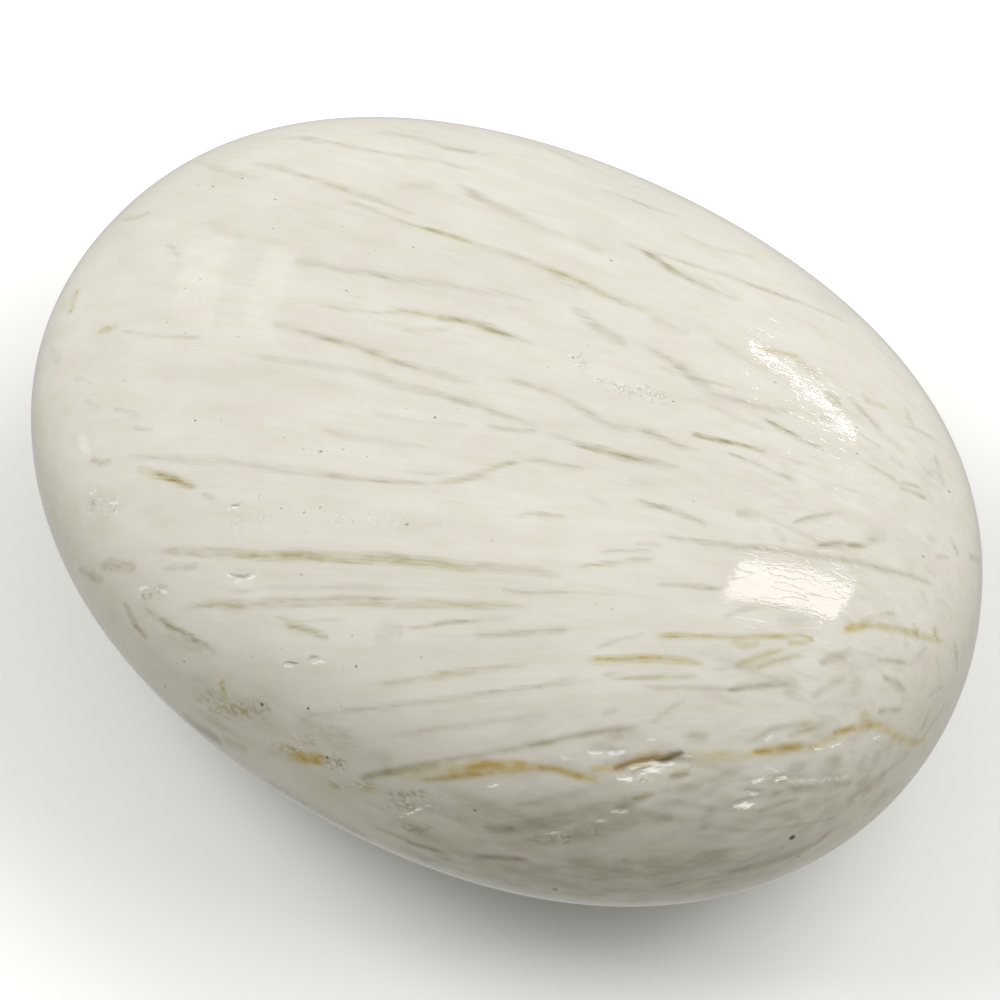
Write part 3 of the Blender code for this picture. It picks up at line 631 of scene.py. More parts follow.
    Mark("seam's body core", ((462, 769), (486, 765), (508, 764), (528, 765)), 0.22, 0.26, 0.46, ORANGE),
    Mark("seam's floor", ((420, 781), (442, 779), (468, 776), (496, 774)), 0.15, 0.16, 0.6, OCHRE),
    Mark("seam", ((526, 767), (545, 768), (560, 771), (575, 775), (588, 779), (600, 782)), 0.24, 0.26, 0.58,
        ORANGE),
    Mark("seam's core", ((536, 768), (552, 769), (568, 773), (584, 778)), 0.14, 0.15, 0.62, OCHRE),
    Mark("seam's link", ((588, 770), (602, 769), (618, 770)), 0.24, 0.24, 0.4, ORANGE, 0.14),
    Mark("open lip", ((612, 770), (624, 766), (634, 762), (644, 759), (654, 757), (662, 756)), 0.14, 0.18,
        0.62, RUST),
    Mark("open lip's corner", ((613, 769), (621, 768), (630, 765), (644, 761), (660, 758), (676, 757)), 0.24,
        0.24, 0.6, ORANGE),
    # Rust brown, deepened with painted shade inside the open crack.
    Mark("open lip's dark", ((648, 761), (660, 761), (668, 760), (675, 757), (682, 754)), 0.11, 0.11, 0.56,
        RUST, 0.1),
    Mark("open lip's heart", ((658, 762), (668, 759), (678, 755), (684, 753)), 0.18, 0.18, 0.86, RUST),
    Mark("open lip's blush", ((680, 759), (688, 759), (697, 760)), 0.2, 0.2, 0.26, RUST),
    Mark("open fringe", ((634, 757), (648, 753), (662, 751)), 0.2, 0.2, 0.44, ORANGE, 0.14),
    Mark("under lip", ((666, 778), (676, 776), (690, 773)), 0.2, 0.22, 0.42, RUST, 0.14),
    Mark("seam's middle", ((686, 757), (705, 756), (722, 756), (738, 757), (754, 755)), 0.34, 0.34, 0.32,
        ORANGE, 0.14),
    Mark("seam's bright", ((750, 753), (762, 752), (776, 750), (790, 748), (804, 747)), 0.26, 0.26, 0.72,
        ORANGE),
    Mark("seam's bright core", ((754, 753), (768, 751), (784, 749), (796, 748)), 0.16, 0.16, 0.3, RUST),
    Mark("seam's far", ((800, 749), (812, 747), (826, 741), (838, 736)), 0.2, 0.26, 0.34, ORANGE, 0.14),
    Mark("seam's right", ((830, 734), (842, 732), (855, 729), (864, 726), (876, 726), (888, 731), (898, 737),
        (910, 742), (928, 741)), 0.28, 0.3, 0.46, ORANGE, 0.22),
    Mark("seam's right core", ((832, 733), (844, 731), (856, 728)), 0.15, 0.15, 0.62, OCHRE),
    Mark("seam's peak", ((865, 710), (865, 718), (866, 730)), 0.42, 0.42, 0.46, OCHRE, 0.14),
    Mark("seam's upper", ((742, 744), (756, 738), (768, 731), (782, 728), (800, 725), (814, 721)), 0.17,
        0.18, 0.42, OLIVE),
    Mark("seam's upper 2", ((786, 737), (800, 732), (812, 729), (826, 725)), 0.16, 0.16, 0.52, KHAKI),
    Mark("below seam", ((631, 800), (642, 798), (655, 793)), 0.17, 0.19, 0.5, OCHRE),
    Mark("below seam's core", ((633, 799), (642, 797), (650, 795)), 0.1, 0.1, 0.4, RUST),
    # The near wall's brushwork.
    Mark("wall grey", ((508, 809), (535, 803), (560, 797), (585, 791), (612, 785)), 0.22, 0.26, 0.3, GREY,
        0.16),
    Mark("wall olive", ((498, 827), (530, 823), (560, 816), (590, 808), (622, 800), (650, 793)), 0.22, 0.75,
        0.3, OLIVE, 0.16),
    Mark("wall olive 2", ((520, 842), (560, 842), (600, 830), (640, 815), (675, 800), (705, 782)), 0.4, 0.7,
        0.26, OLIVE, 0.25),
    Mark("wall knot", ((482, 826), (497, 829), (516, 829)), 0.3, 0.36, 0.26, SPECK_AND_SHADE, 0.2),
    Mark("wall band", ((656, 792), (680, 789), (700, 784), (724, 775), (742, 768)), 0.24, 0.3, 0.32, OLIVE,
        0.16),
    Mark("wall band 2", ((690, 806), (705, 795), (718, 786), (736, 779)), 0.22, 0.28, 0.3, GREY, 0.16),
    Mark("wall upright", ((702, 832), (706, 819), (714, 806)), 0.34, 0.34, 0.28, OLIVE, 0.2),
    Mark("wall spot", ((654, 823), (664, 820), (674, 818)), 0.24, 0.28, 0.34, OLIVE, 0.16),
    Mark("grey wedge", ((768, 796), (785, 790), (805, 787), (828, 785), (854, 783)), 0.24, 0.4, 0.46, OLIVE),
    Mark("grey wedge 2", ((756, 812), (770, 808), (784, 803), (800, 800)), 0.2, 0.22, 0.46, OLIVE),
    Mark("wall hatch", ((804, 800), (812, 802), (824, 803)), 0.5, 0.6, 0.2, OLIVE, 0.25),
    Mark("wall hatch 2", ((846, 803), (856, 793), (872, 783)), 0.36, 0.4, 0.3, GREY, 0.2),
    Mark("wall hatch 3", ((862, 811), (874, 802), (888, 790)), 0.36, 0.4, 0.26, GREY, 0.2),
    Mark("wall blot", ((788, 766), (796, 765), (806, 766)), 0.3, 0.32, 0.26, OLIVE, 0.16),
    Mark("wall blot 2", ((816, 772), (828, 764), (844, 757)), 0.4, 0.42, 0.24, OLIVE, 0.2),
    Mark("wall blot 3", ((857, 772), (862, 764), (868, 756)), 0.36, 0.36, 0.28, GREY, 0.3),
    Mark("wall thread", ((726, 831), (755, 831), (785, 828), (812, 823), (836, 818)), 0.07, 0.08, 0.3,
        OLIVE),
    Mark("wall arc", ((716, 873), (750, 868), (780, 860), (803, 850), (820, 840), (836, 824)), 0.24, 0.26,
        0.3, OLIVE, 0.2),
    Mark("wall arc's core", ((800, 852), (815, 844), (828, 833)), 0.18, 0.2, 0.34, OLIVE),
    # Broad marks that darken the near wall towards its bottom; the dark one along the belly is painted shade.
    Mark("wall shade", ((560, 862), (600, 866), (650, 866), (700, 860), (740, 852)), 0.9, 0.9, 0.4, OLIVE,
        0.5),
    Mark("wall deep", ((452, 812), (500, 816), (550, 817), (600, 813), (640, 807)), 1.1, 1.9, 0.28, OLIVE,
        0.7),
    Mark("belly shade", ((392, 846), (450, 868), (520, 884), (600, 893), (680, 890), (750, 874), (812, 842)),
        2.4, 1.6, 0.22, SPECK_AND_SHADE, 0.9),
    Mark("wall lines", ((585, 880), (620, 878), (655, 874), (690, 868)), 0.16, 0.16, 0.24, OLIVE, 0.16),
    Mark("wall lines 2", ((600, 892), (650, 888), (700, 880), (760, 868)), 0.12, 0.12, 0.2, OLIVE, 0.16),
    Mark("wall lines 3", ((640, 851), (680, 852), (720, 851), (752, 849)), 0.14, 0.14, 0.22, OLIVE, 0.16),
    Mark("deep brown", ((372, 826), (400, 838), (425, 848), (450, 853), (476, 857), (500, 858), (534, 861)),
        0.24, 0.28, 0.36, OLIVE, 0.16),
    Mark("deep brown's core", ((405, 842), (422, 847), (442, 852)), 0.17, 0.18, 0.36, RUST, 0.14),
    Mark("deep brown's core 2", ((472, 857), (496, 858), (530, 860)), 0.18, 0.18, 0.36, RUST, 0.14),
    Mark("deep brown's skirt", ((428, 854), (452, 861), (474, 867), (496, 871)), 0.14, 0.16, 0.28, OLIVE),
    Mark("deep olive", ((402, 828), (416, 829), (434, 829)), 0.34, 0.36, 0.34, OLIVE, 0.2, 1.0),
    Mark("deep mottle", ((384, 804), (398, 805), (416, 806)), 0.45, 0.5, 0.32, KHAKI, 0.2, 1.0),
    Mark("deep mottle 2", ((382, 794), (404, 794), (428, 793)), 0.22, 0.24, 0.42, OLIVE, 0.14, 1.0),
    Mark("deep slant", ((428, 802), (446, 811), (464, 821)), 0.3, 0.3, 0.22, GREY, 0.2),
    Mark("deep scrub", ((520, 838), (545, 841), (575, 838)), 0.34, 0.4, 0.26, KHAKI, 0.2, 1.0),
    # White crushed crystal in chips, pits and scratches, partly painted glints, with painted shade beside
    # some.
    Mark("lip's glint", ((626, 769), (640, 766), (654, 765), (668, 764)), 0.16, 0.2, 0.95, FROST_AND_GLINT, 0.06),
    Mark("lip's glint 2", ((636, 774), (650, 772), (664, 768), (676, 763)), 0.13, 0.15, 0.9, FROST_AND_GLINT, 0.06),
    Mark("lip's glint 3", ((616, 779), (625, 780), (634, 779)), 0.13, 0.16, 0.85, FROST_AND_GLINT, 0.06),
    Mark("upper glint", ((588, 753), (595, 754), (604, 753)), 0.13, 0.13, 0.7, FROST_AND_GLINT, 0.06),
    Mark("upper glint 2", ((608, 753), (616, 754), (626, 751)), 0.13, 0.14, 0.85, FROST_AND_GLINT, 0.06),
    Mark("upper glint 3", ((646, 742), (652, 741), (658, 742)), 0.08, 0.09, 0.6, FROST_AND_GLINT, 0.06),
    Mark("upper glint 4", ((560, 757), (566, 759), (572, 761)), 0.08, 0.08, 0.5, FROST_AND_GLINT, 0.06),
    Mark("seam's glint", ((486, 787), (493, 786), (500, 785)), 0.08, 0.09, 0.7, FROST_AND_GLINT, 0.06),
    Mark("lip's crumb", ((680, 757), (687, 757), (693, 758)), 0.09, 0.09, 0.6, FROST_AND_GLINT, 0.06),
    Mark("chip's glint", ((747, 783), (756, 782), (766, 779)), 0.09, 0.1, 0.85, FROST_AND_GLINT, 0.06),
    Mark("chip's glint 2", ((762, 770), (770, 768), (778, 773)), 0.09, 0.1, 0.75, FROST_AND_GLINT, 0.06),
    Mark("chip's glint 3", ((776, 781), (782, 780), (788, 779)), 0.11, 0.12, 0.8, FROST_AND_GLINT, 0.06),
    Mark("chip's glint 4", ((746, 796), (756, 795), (766, 793)), 0.09, 0.1, 0.75, FROST_AND_GLINT, 0.06),
    Mark("chip's glint 5", ((732, 806), (742, 807), (754, 804)), 0.14, 0.14, 0.9, FROST_AND_GLINT, 0.06),
    Mark("pale line", ((786, 783), (805, 781), (828, 780), (850, 777)), 0.11, 0.12, 0.3, FROST_AND_GLINT, 0.14),
    Mark("small glint", ((812, 748), (817, 749), (823, 750)), 0.1, 0.1, 0.8, FROST_AND_GLINT, 0.06),
    Mark("small glint 2", ((828, 745), (834, 746), (842, 744)), 0.09, 0.1, 0.55, FROST_AND_GLINT, 0.06),
    Mark("small glint 3", ((764, 742), (769, 739), (775, 735)), 0.1, 0.1, 0.45, FROST_AND_GLINT, 0.1),
    Mark("small glint 4", ((872, 740), (877, 738), (881, 735)), 0.08, 0.08, 0.5, FROST_AND_GLINT, 0.06),
    Mark("wall glint", ((612, 812), (620, 813), (629, 811)), 0.09, 0.1, 0.8, FROST_AND_GLINT, 0.06),
    Mark("wall glint 2", ((596, 822), (601, 821), (607, 820)), 0.08, 0.08, 0.7, FROST_AND_GLINT, 0.06),
    Mark("wall glint 3", ((546, 834), (552, 833), (560, 832)), 0.08, 0.08, 0.5, FROST_AND_GLINT, 0.06),
    Mark("curved scratch", ((399, 818), (414, 812), (431, 806)), 0.06, 0.06, 0.5, FROST_AND_GLINT, 0.06),
    Mark("left glint", ((226, 576), (232, 577), (238, 578)), 0.09, 0.09, 0.85, FROST_AND_GLINT, 0.06),
    Mark("left glint 2", ((237, 580), (245, 580), (256, 577)), 0.08, 0.08, 0.85, FROST_AND_GLINT, 0.06),
    Mark("left glint 3", ((229, 509), (236, 508), (243, 506)), 0.06, 0.06, 0.7, FROST_AND_GLINT, 0.06),
    Mark("left glint 4", ((109, 504), (114, 503), (120, 503)), 0.1, 0.1, 0.8, FROST_AND_GLINT, 0.06),
    Mark("left glint 5", ((88, 495), (93, 493), (97, 493)), 0.1, 0.1, 0.5, FROST_AND_GLINT, 0.06),
    Mark("left glint 6", ((136, 589), (142, 589), (148, 588)), 0.1, 0.1, 0.55, FROST_AND_GLINT, 0.06),
    Mark("left glint 7", ((157, 590), (162, 592), (168, 591)), 0.09, 0.09, 0.5, FROST_AND_GLINT, 0.06),
    Mark("pit's glint", ((312, 662), (318, 663), (324, 661)), 0.12, 0.12, 0.8, FROST_AND_GLINT, 0.06),
    Mark("pit's glint 2", ((283, 666), (289, 666), (295, 665)), 0.05, 0.05, 0.5, FROST_AND_GLINT, 0.06),
    Mark("left glint's shade", ((228, 573), (236, 576), (246, 576), (250, 573)), 0.07, 0.07, 0.5, SPECK_AND_SHADE,
        0.06),
    Mark("left glint 3's shade", ((230, 506), (237, 505), (242, 503)), 0.05, 0.05, 0.4, SPECK_AND_SHADE, 0.06),
    Mark("left chip's shade", ((104, 506), (111, 511), (118, 507)), 0.16, 0.18, 0.45, OLIVE, 0.1, 1.0),
    Mark("left chip's shade 2", ((90, 500), (96, 508), (102, 512)), 0.14, 0.16, 0.34, OLIVE, 0.1, 1.0),
    Mark("left chip's shade 3", ((138, 597), (146, 597), (152, 594)), 0.14, 0.16, 0.38, OLIVE, 0.1, 1.0),
    Mark("left chip's shade 4", ((152, 588), (160, 587), (168, 588)), 0.1, 0.1, 0.38, OLIVE, 0.1, 1.0),
    Mark("pit's shade", ((308, 658), (316, 657), (324, 659)), 0.09, 0.09, 0.6, SPECK_AND_SHADE, 0.06),
    Mark("pit's shade 2", ((283, 664), (290, 663), (300, 665)), 0.06, 0.06, 0.5, SPECK_AND_SHADE, 0.06),
    Mark("chip's shade", ((745, 790), (756, 791), (768, 789)), 0.09, 0.1, 0.22, SPECK_AND_SHADE, 0.08),
    Mark("chip's shade 2", ((734, 801), (744, 800), (754, 799)), 0.08, 0.08, 0.25, SPECK_AND_SHADE, 0.06),
    Mark("chip's shade 3", ((766, 775), (776, 776), (786, 774)), 0.08, 0.08, 0.18, SPECK_AND_SHADE, 0.08),
    Mark("upper glint's shade", ((606, 749), (616, 749), (628, 748)), 0.06, 0.06, 0.2, SPECK_AND_SHADE, 0.06),
    Mark("lip's split", ((630, 772), (645, 769), (660, 767)), 0.04, 0.04, 0.3, SPECK_AND_SHADE, 0.06),
    Mark("wall glint's shade", ((613, 809), (620, 808), (628, 808)), 0.06, 0.06, 0.4, SPECK_AND_SHADE, 0.06),
)


@dataclass
class Spot:
    """A round spot: its radius in millimetres, how strong it is, and the pixel it is placed by."""

    radius: float
    strength: float
    pixel: tuple[float, float]


# Small dark inclusions just under the polish.
SPECKS = (
    Spot(0.15, 0.95, pixel=(271, 501)), Spot(0.14, 0.9, pixel=(262, 705)), Spot(0.1, 0.8, pixel=(303, 707)),
    Spot(0.11, 0.85, pixel=(308, 709)), Spot(0.07, 0.35, pixel=(341, 707)),
    Spot(0.13, 0.6, pixel=(165, 687)), Spot(0.11, 0.5, pixel=(184, 662)), Spot(0.09, 0.75, pixel=(195, 421)),
    Spot(0.07, 0.4, pixel=(221, 421)), Spot(0.24, 0.95, pixel=(792, 838)), Spot(0.13, 0.9, pixel=(861, 465)),
    Spot(0.1, 0.5, pixel=(857, 454)), Spot(0.11, 0.45, pixel=(856, 428)),
    Spot(0.13, 0.65, pixel=(949, 492)), Spot(0.1, 0.8, pixel=(209, 187)), Spot(0.09, 0.7, pixel=(213, 187)),
    Spot(0.12, 0.9, pixel=(238, 180)), Spot(0.09, 0.8, pixel=(242, 179)), Spot(0.1, 0.3, pixel=(198, 186)),
    Spot(0.1, 0.55, pixel=(275, 200)), Spot(0.09, 0.45, pixel=(349, 220)),
    Spot(0.1, 0.4, pixel=(273, 229)), Spot(0.09, 0.25, pixel=(288, 215)), Spot(0.09, 0.3, pixel=(342, 227)),
    Spot(0.08, 0.3, pixel=(375, 251)), Spot(0.1, 0.5, pixel=(346, 291)), Spot(0.07, 0.35, pixel=(358, 298)),
    Spot(0.1, 0.35, pixel=(200, 280)), Spot(0.09, 0.35, pixel=(185, 289)),
    Spot(0.08, 0.3, pixel=(200, 299)), Spot(0.08, 0.4, pixel=(167, 323)), Spot(0.1, 0.3, pixel=(185, 334)),
    Spot(0.09, 0.3, pixel=(238, 337)), Spot(0.12, 0.6, pixel=(120, 378)), Spot(0.09, 0.45, pixel=(124, 381)),
    Spot(0.08, 0.5, pixel=(269, 439)), Spot(0.07, 0.35, pixel=(284, 438)), Spot(0.1, 0.5, pixel=(316, 446)),
    Spot(0.12, 0.6, pixel=(321, 452)), Spot(0.09, 0.3, pixel=(303, 450)), Spot(0.1, 0.35, pixel=(343, 450)),
    Spot(0.09, 0.3, pixel=(367, 457)), Spot(0.09, 0.4, pixel=(281, 509)), Spot(0.09, 0.5, pixel=(320, 508)),
    Spot(0.11, 0.4, pixel=(304, 513)), Spot(0.11, 0.65, pixel=(295, 579)),
    Spot(0.09, 0.45, pixel=(301, 575)), Spot(0.11, 0.4, pixel=(413, 248)),
    Spot(0.08, 0.25, pixel=(450, 257)), Spot(0.11, 0.5, pixel=(610, 252)), Spot(0.12, 0.5, pixel=(611, 261)),
    Spot(0.14, 0.8, pixel=(578, 351)), Spot(0.1, 0.5, pixel=(573, 358)), Spot(0.1, 0.55, pixel=(673, 402)),
    Spot(0.12, 0.7, pixel=(435, 418)), Spot(0.08, 0.45, pixel=(450, 413)),
    Spot(0.07, 0.35, pixel=(458, 409)), Spot(0.07, 0.35, pixel=(406, 409)),
    Spot(0.09, 0.35, pixel=(548, 367)), Spot(0.12, 0.5, pixel=(407, 525)), Spot(0.07, 0.3, pixel=(440, 523)),
    Spot(0.09, 0.3, pixel=(492, 541)), Spot(0.08, 0.35, pixel=(693, 502)), Spot(0.1, 0.5, pixel=(775, 383)),
    Spot(0.1, 0.55, pixel=(923, 557)), Spot(0.2, 0.6, pixel=(555, 890)),
    Spot(0.09, 0.55, pixel=(254, 654)), Spot(0.07, 0.4, pixel=(251, 657)),
    Spot(0.07, 0.35, pixel=(270, 655)), Spot(0.06, 0.3, pixel=(267, 649)), Spot(0.06, 0.3, pixel=(281, 649)),
    Spot(0.11, 0.6, pixel=(356, 667)), Spot(0.08, 0.4, pixel=(352, 636)), Spot(0.1, 0.3, pixel=(421, 658)),
    Spot(0.11, 0.6, pixel=(475, 811)), Spot(0.14, 0.8, pixel=(327, 758)), Spot(0.14, 0.35, pixel=(798, 857)),
    Spot(0.12, 0.3, pixel=(624, 861)), Spot(0.08, 0.4, pixel=(612, 610)), Spot(0.07, 0.3, pixel=(595, 605)),
    Spot(0.08, 0.3, pixel=(353, 522)),
)

ROUGH_PATCHES = (
    # A row across the middle of the crown.
    Spot(0.9, 1.0, pixel=(574, 356)), Spot(0.8, 1.0, pixel=(584, 364)), Spot(0.8, 1.0, pixel=(600, 381)),
    Spot(1.0, 1.0, pixel=(618, 387)), Spot(1.0, 1.0, pixel=(634, 391)), Spot(1.1, 1.0, pixel=(648, 394)),
    Spot(0.8, 1.0, pixel=(661, 398)),
    # Faint ones on the crown's thinner half.
    Spot(0.9, 0.5, pixel=(318, 450)), Spot(0.9, 0.4, pixel=(238, 523)), Spot(0.9, 0.4, pixel=(262, 521)),
    Spot(0.9, 0.4, pixel=(338, 519)), Spot(0.8, 0.5, pixel=(372, 518)), Spot(0.9, 0.5, pixel=(398, 522)),
    # Round the thinner end.
    Spot(1.1, 0.6, pixel=(94, 505)), Spot(1.1, 0.6, pixel=(112, 508)), Spot(0.9, 0.6, pixel=(160, 588)),
    Spot(0.9, 0.5, pixel=(143, 592)),
    # Low in the near wall, beside the seam's start.
    Spot(1.3, 0.5, pixel=(400, 795)), Spot(1.2, 0.45, pixel=(430, 800)), Spot(1.0, 0.6, pixel=(300, 745)),
    Spot(1.2, 0.7, pixel=(336, 765)),
    # Small ones high on the shoulder, round the broad highlight: their white rims paint sparkle along its
    # edges.
    Spot(0.8, 0.4, pixel=(727, 596)), Spot(0.8, 0.4, pixel=(732, 578)), Spot(0.8, 0.4, pixel=(853, 586)),
    Spot(0.8, 0.4, pixel=(846, 606)), Spot(0.9, 0.3, pixel=(768, 560)), Spot(0.9, 0.3, pixel=(802, 563)),
    Spot(0.9, 0.3, pixel=(834, 568)),
    # In the near wall, below the seam.
    Spot(1.4, 0.35, pixel=(560, 838)), Spot(1.2, 0.3, pixel=(592, 826)),
)

# Where bundles of needles cross: in the near wall and round the blunt end.
BRUSHED_PATCHES = (
    Spot(8.0, 0.6, pixel=(862, 680)), Spot(7.0, 0.9, pixel=(770, 700)), Spot(6.0, 0.45, pixel=(900, 470)),
    Spot(7.0, 0.32, pixel=(900, 560)), Spot(9.0, 1.0, pixel=(830, 790)), Spot(9.0, 1.0, pixel=(740, 800)),
    Spot(9.0, 1.0, pixel=(650, 820)), Spot(9.0, 1.0, pixel=(540, 830)), Spot(7.0, 1.0, pixel=(430, 830)),
    Spot(6.0, 1.0, pixel=(240, 720)), Spot(5.0, 0.7, pixel=(800, 520)), Spot(4.0, 0.5, pixel=(905, 736)),
)


@dataclass
class Sheets:
    """Streaks as numbers at each vertex, on a few sheets that lie over each other.

    A sheet holds, for the streak that passes nearest, the distance across it, its two half widths, its
    strength, its tint, its softness and its mottle. The distance changes evenly across a streak, so its
    edges stay crisper than the mesh. Streaks that would meet on one sheet are put on different ones.
    """

    points: np.ndarray
    count: int
    far: float = 9.0
    cell: float = 0.35
    softening: float = 0.4  # share of a streak's slimmer side that its edges fade over too
    fade: float = 1.3  # how many times its softness an edge reaches out
    tip: float = 0.35  # share of a streak's width that is left at its ends

    def __post_init__(self) -> None:
        """Starts each sheet with nothing on it."""
        blank = np.tile((self.far, 0.1, 0.1, 0.0), (len(self.points), 1))
        self.values = [blank.copy() for _ in range(self.count)]
        self.kinds = [np.tile((0.0, 0.1, 0.0), (len(self.points), 1)) for _ in range(self.count)]
        self.crowded = 0

    def draw(self, mark: Mark) -> None:
        """Puts one streak on the sheet where least is near it.

        Each vertex near it finds the closest stretch of the path. The streak narrows towards its ends as
        the square root of a parabola does, and fades over the last tenth or so. Strength reaches a little
        further out than the streak, so that a streak thinner than the mesh's cells stays whole.

        Args:
            mark: the streak, already laid on the surface.
        """
        path, out = mark.points, mark.normals
        widest = max(mark.above, mark.below)
        soft = mark.soft + self.softening * min(mark.above, mark.below)
        margin = widest + self.fade * soft + 2.0 * self.cell
        near = (self.points > path.min(axis=0) - margin) & (self.points < path.max(axis=0) + margin)
        near = np.flatnonzero(near.all(axis=1))
        start, step = path[:-1], path[1:] - path[:-1]
        offset = self.points[near][:, None, :] - start
        share = np.clip((offset * step).sum(axis=2) / (step ** 2).sum(axis=1), 0.0, 1.0)
        offset -= share[..., None] * step
        gap = np.linalg.norm(offset, axis=2)
        row, best = np.arange(near.size), gap.argmin(axis=1)
        gap, offset, share = gap[row, best], offset[row, best], share[row, best]
        across = (offset * unit(np.cross(out[best], step[best]))).sum(axis=1)
        across = np.where(np.abs(across) > 0.7 * gap, across, gap)
        t = (best + share) / len(step)
        taper = np.sqrt(np.clip(4.0 * t * (1.0 - t), 0.0, 1.0))
        above, below = (width * (self.tip + (1.0 - self.tip) * taper) for width in (mark.above, mark.below))
        edge = np.where(across > 0.0, above, below) + self.fade * soft + self.cell
        strength = mark.strength * smooth(0.0, 0.6, taper) * (1.0 - smooth(edge, edge + self.cell, gap))
        close = gap < edge + self.cell
        busy = [int((values[near[close], 3] > 0.0).sum()) for values in self.values]
        sheet = int(np.argmin(busy))
        self.crowded += busy[sheet] > 0
        close &= strength >= self.values[sheet][near, 3]
        self.values[sheet][near[close]] = np.stack((across, above, below, strength), axis=1)[close]
        self.kinds[sheet][near[close]] = (mark.tint.place(), soft, mark.mottle)

    def store(self, mesh: bpy.types.Mesh) -> None:
        """Writes each sheet to the mesh, as four numbers and three more at each vertex."""
        for number, (values, kinds) in enumerate(zip(self.values, self.kinds), 1):
            attribute = mesh.attributes.new(f"streaks_{number}", "FLOAT_COLOR", "POINT")
            attribute.data.foreach_set("color", values.astype(np.float32).ravel())
            attribute = mesh.attributes.new(f"kinds_{number}", "FLOAT_VECTOR", "POINT")
            attribute.data.foreach_set("vector", kinds.astype(np.float32).ravel())


@dataclass
class Needles:
    """How the needles lie: they fan out from a far point, and bend a little to follow the streaks.

    A point's place among the needles is three lengths: two across them, which stay the same along any one
    needle, and one along them.
    """

    source: tuple[float, float, float] = (66.0, 32.5, 25.0)
    stiffness: float = 0.6
    unit_length: float = 30.0
    bend: np.ndarray | None = None

    def __post_init__(self) -> None:
        """Works out the fan's axis and two directions across it."""
        self.far = float(np.linalg.norm(self.source))
        self.axis = np.array(self.source) / self.far
        self.level = unit(np.cross((0.0, 0.0, 1.0), self.axis))
        self.rise = np.cross(self.axis, self.level)

    def powers(self, points: np.ndarray) -> tuple[np.ndarray, np.ndarray]:
        """Products of X, Y and Z up to the third power, and their slopes.

        Args:
            points: rows of points.

        Returns:
            One column per product, and for each the slope along X, Y and Z.
        """
        grid = np.indices((4, 4, 4)).reshape(3, -1).T
        grid = grid[(grid.sum(axis=1) > 0) & (grid.sum(axis=1) < 4)]
        scaled = points / self.unit_length
        value = np.prod(scaled[:, None, :] ** grid, axis=2)
        slopes = []
        for axis in range(3):
            lower = grid.copy()
            lower[:, axis] = np.maximum(lower[:, axis] - 1, 0)
            factor = grid[:, axis] / self.unit_length
            slopes.append(factor * np.prod(scaled[:, None, :] ** lower, axis=2))
        return value, np.stack(slopes, axis=2)

    def fan(self, points: np.ndarray) -> np.ndarray:
        """The unbent needles' three lengths: the point's direction from the source, and its distance."""
        ray = np.array(self.source) - points
        reach = np.linalg.norm(ray, axis=1)
        return np.stack((ray @ self.level, ray @ self.rise, reach), axis=1) * np.stack(
            (self.far / reach, self.far / reach, np.ones(len(points))), axis=1
        )

    def follow(self, marks: list[Mark]) -> None:
        """Bends the needles by least squares, so that the first two lengths stay level along the marks.

        Args:
            marks: the streaks to follow.
        """
        middle = np.concatenate([(m.points[1:] + m.points[:-1]) / 2 for m in marks])
        along = np.concatenate([unit(m.points[1:] - m.points[:-1]) for m in marks])
        step = 0.01
        drift = (self.fan(middle + step * along) - self.fan(middle - step * along)) / (2 * step)
        slope = (self.powers(middle)[1] * along[:, None, :]).sum(axis=2)
        hold = self.stiffness * np.sqrt(len(middle)) * np.eye(slope.shape[1]) / self.unit_length
        self.bend = np.linalg.lstsq(
            np.concatenate((slope, hold)),
            np.concatenate((-drift[:, :2], np.zeros((len(hold), 2)))),
            rcond=None,
        )[0]

    def place(self, points: np.ndarray) -> np.ndarray:
        """The three lengths at these points."""
        lengths = self.fan(points)
        lengths[:, :2] += self.powers(points)[0] @ self.bend
        return lengths

    def direction(self, points: np.ndarray, normals: np.ndarray) -> np.ndarray:
        """The unit direction on the surface in which the needles run, away from their source.

        Args:
            points: rows of surface points.
            normals: their outward normals.

        Returns:
            Rows of unit directions.
        """
        step = 0.01
        slopes = [
            (self.place(points + step * way) - self.place(points - step * way))[:, :2] / (2 * step)
            for way in np.eye(3)
        ]
        first, second = np.stack(slopes, axis=2).transpose(1, 0, 2)
        run = np.cross(first, second)
        run *= np.sign((run @ self.axis))[:, None] * -1.0
        return unit(run - (run * normals).sum(axis=1, keepdims=True) * normals)


@dataclass
class Hollow:
    """A chip out of the surface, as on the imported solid: a slim lens, pressed in along the needles."""

    turn: float
    tilt: float
    length: float
    width: float
    depth: float
    lean: float
    rag: tuple[float, float] = (0.16, 0.10)
    rag_waves: tuple[float, float] = (9.0, 23.0)
    softness: float = 0.4  # depth in the skin, as a share of the depth in the solid
    reach: float = 2.0  # how far below its centre a point may lie and still be pressed

    def press(self, form: StoneForm, points: np.ndarray, normals: np.ndarray) -> np.ndarray:
        """How far each point goes in.

        The depth is that of a bowl. Its rim is made ragged by waves that run along the lens.

        Args:
            form: the surface.
            points: rows of surface points.
            normals: their outward normals.

        Returns:
            One depth per point.
        """
        heading = toward(self.turn, self.tilt)[None]
        centre, out = form.point(heading)[0], form.out(heading)[0]
        level = unit(np.cross((0.0, 0.0, 1.0), out))
        lean = math.radians(self.lean)
        along = math.cos(lean) * level + math.sin(lean) * np.cross(out, level)
        offset = points - centre
        down = offset @ along / (self.length / 2)
        over = offset @ np.cross(out, along) / (self.width / 2)
        long_wave = self.rag[0] * np.sin(self.rag_waves[0] * down + 2.0 * over)
        rag = long_wave + self.rag[1] * np.sin(self.rag_waves[1] * down + self.turn)
        radius = down ** 2 + over ** 2 + rag * (np.abs(over) + 0.3)
        bowl = self.softness * self.depth * np.clip(1.0 - radius, 0.0, 1.0)
        return np.where(offset @ out > -self.reach, bowl, 0.0)


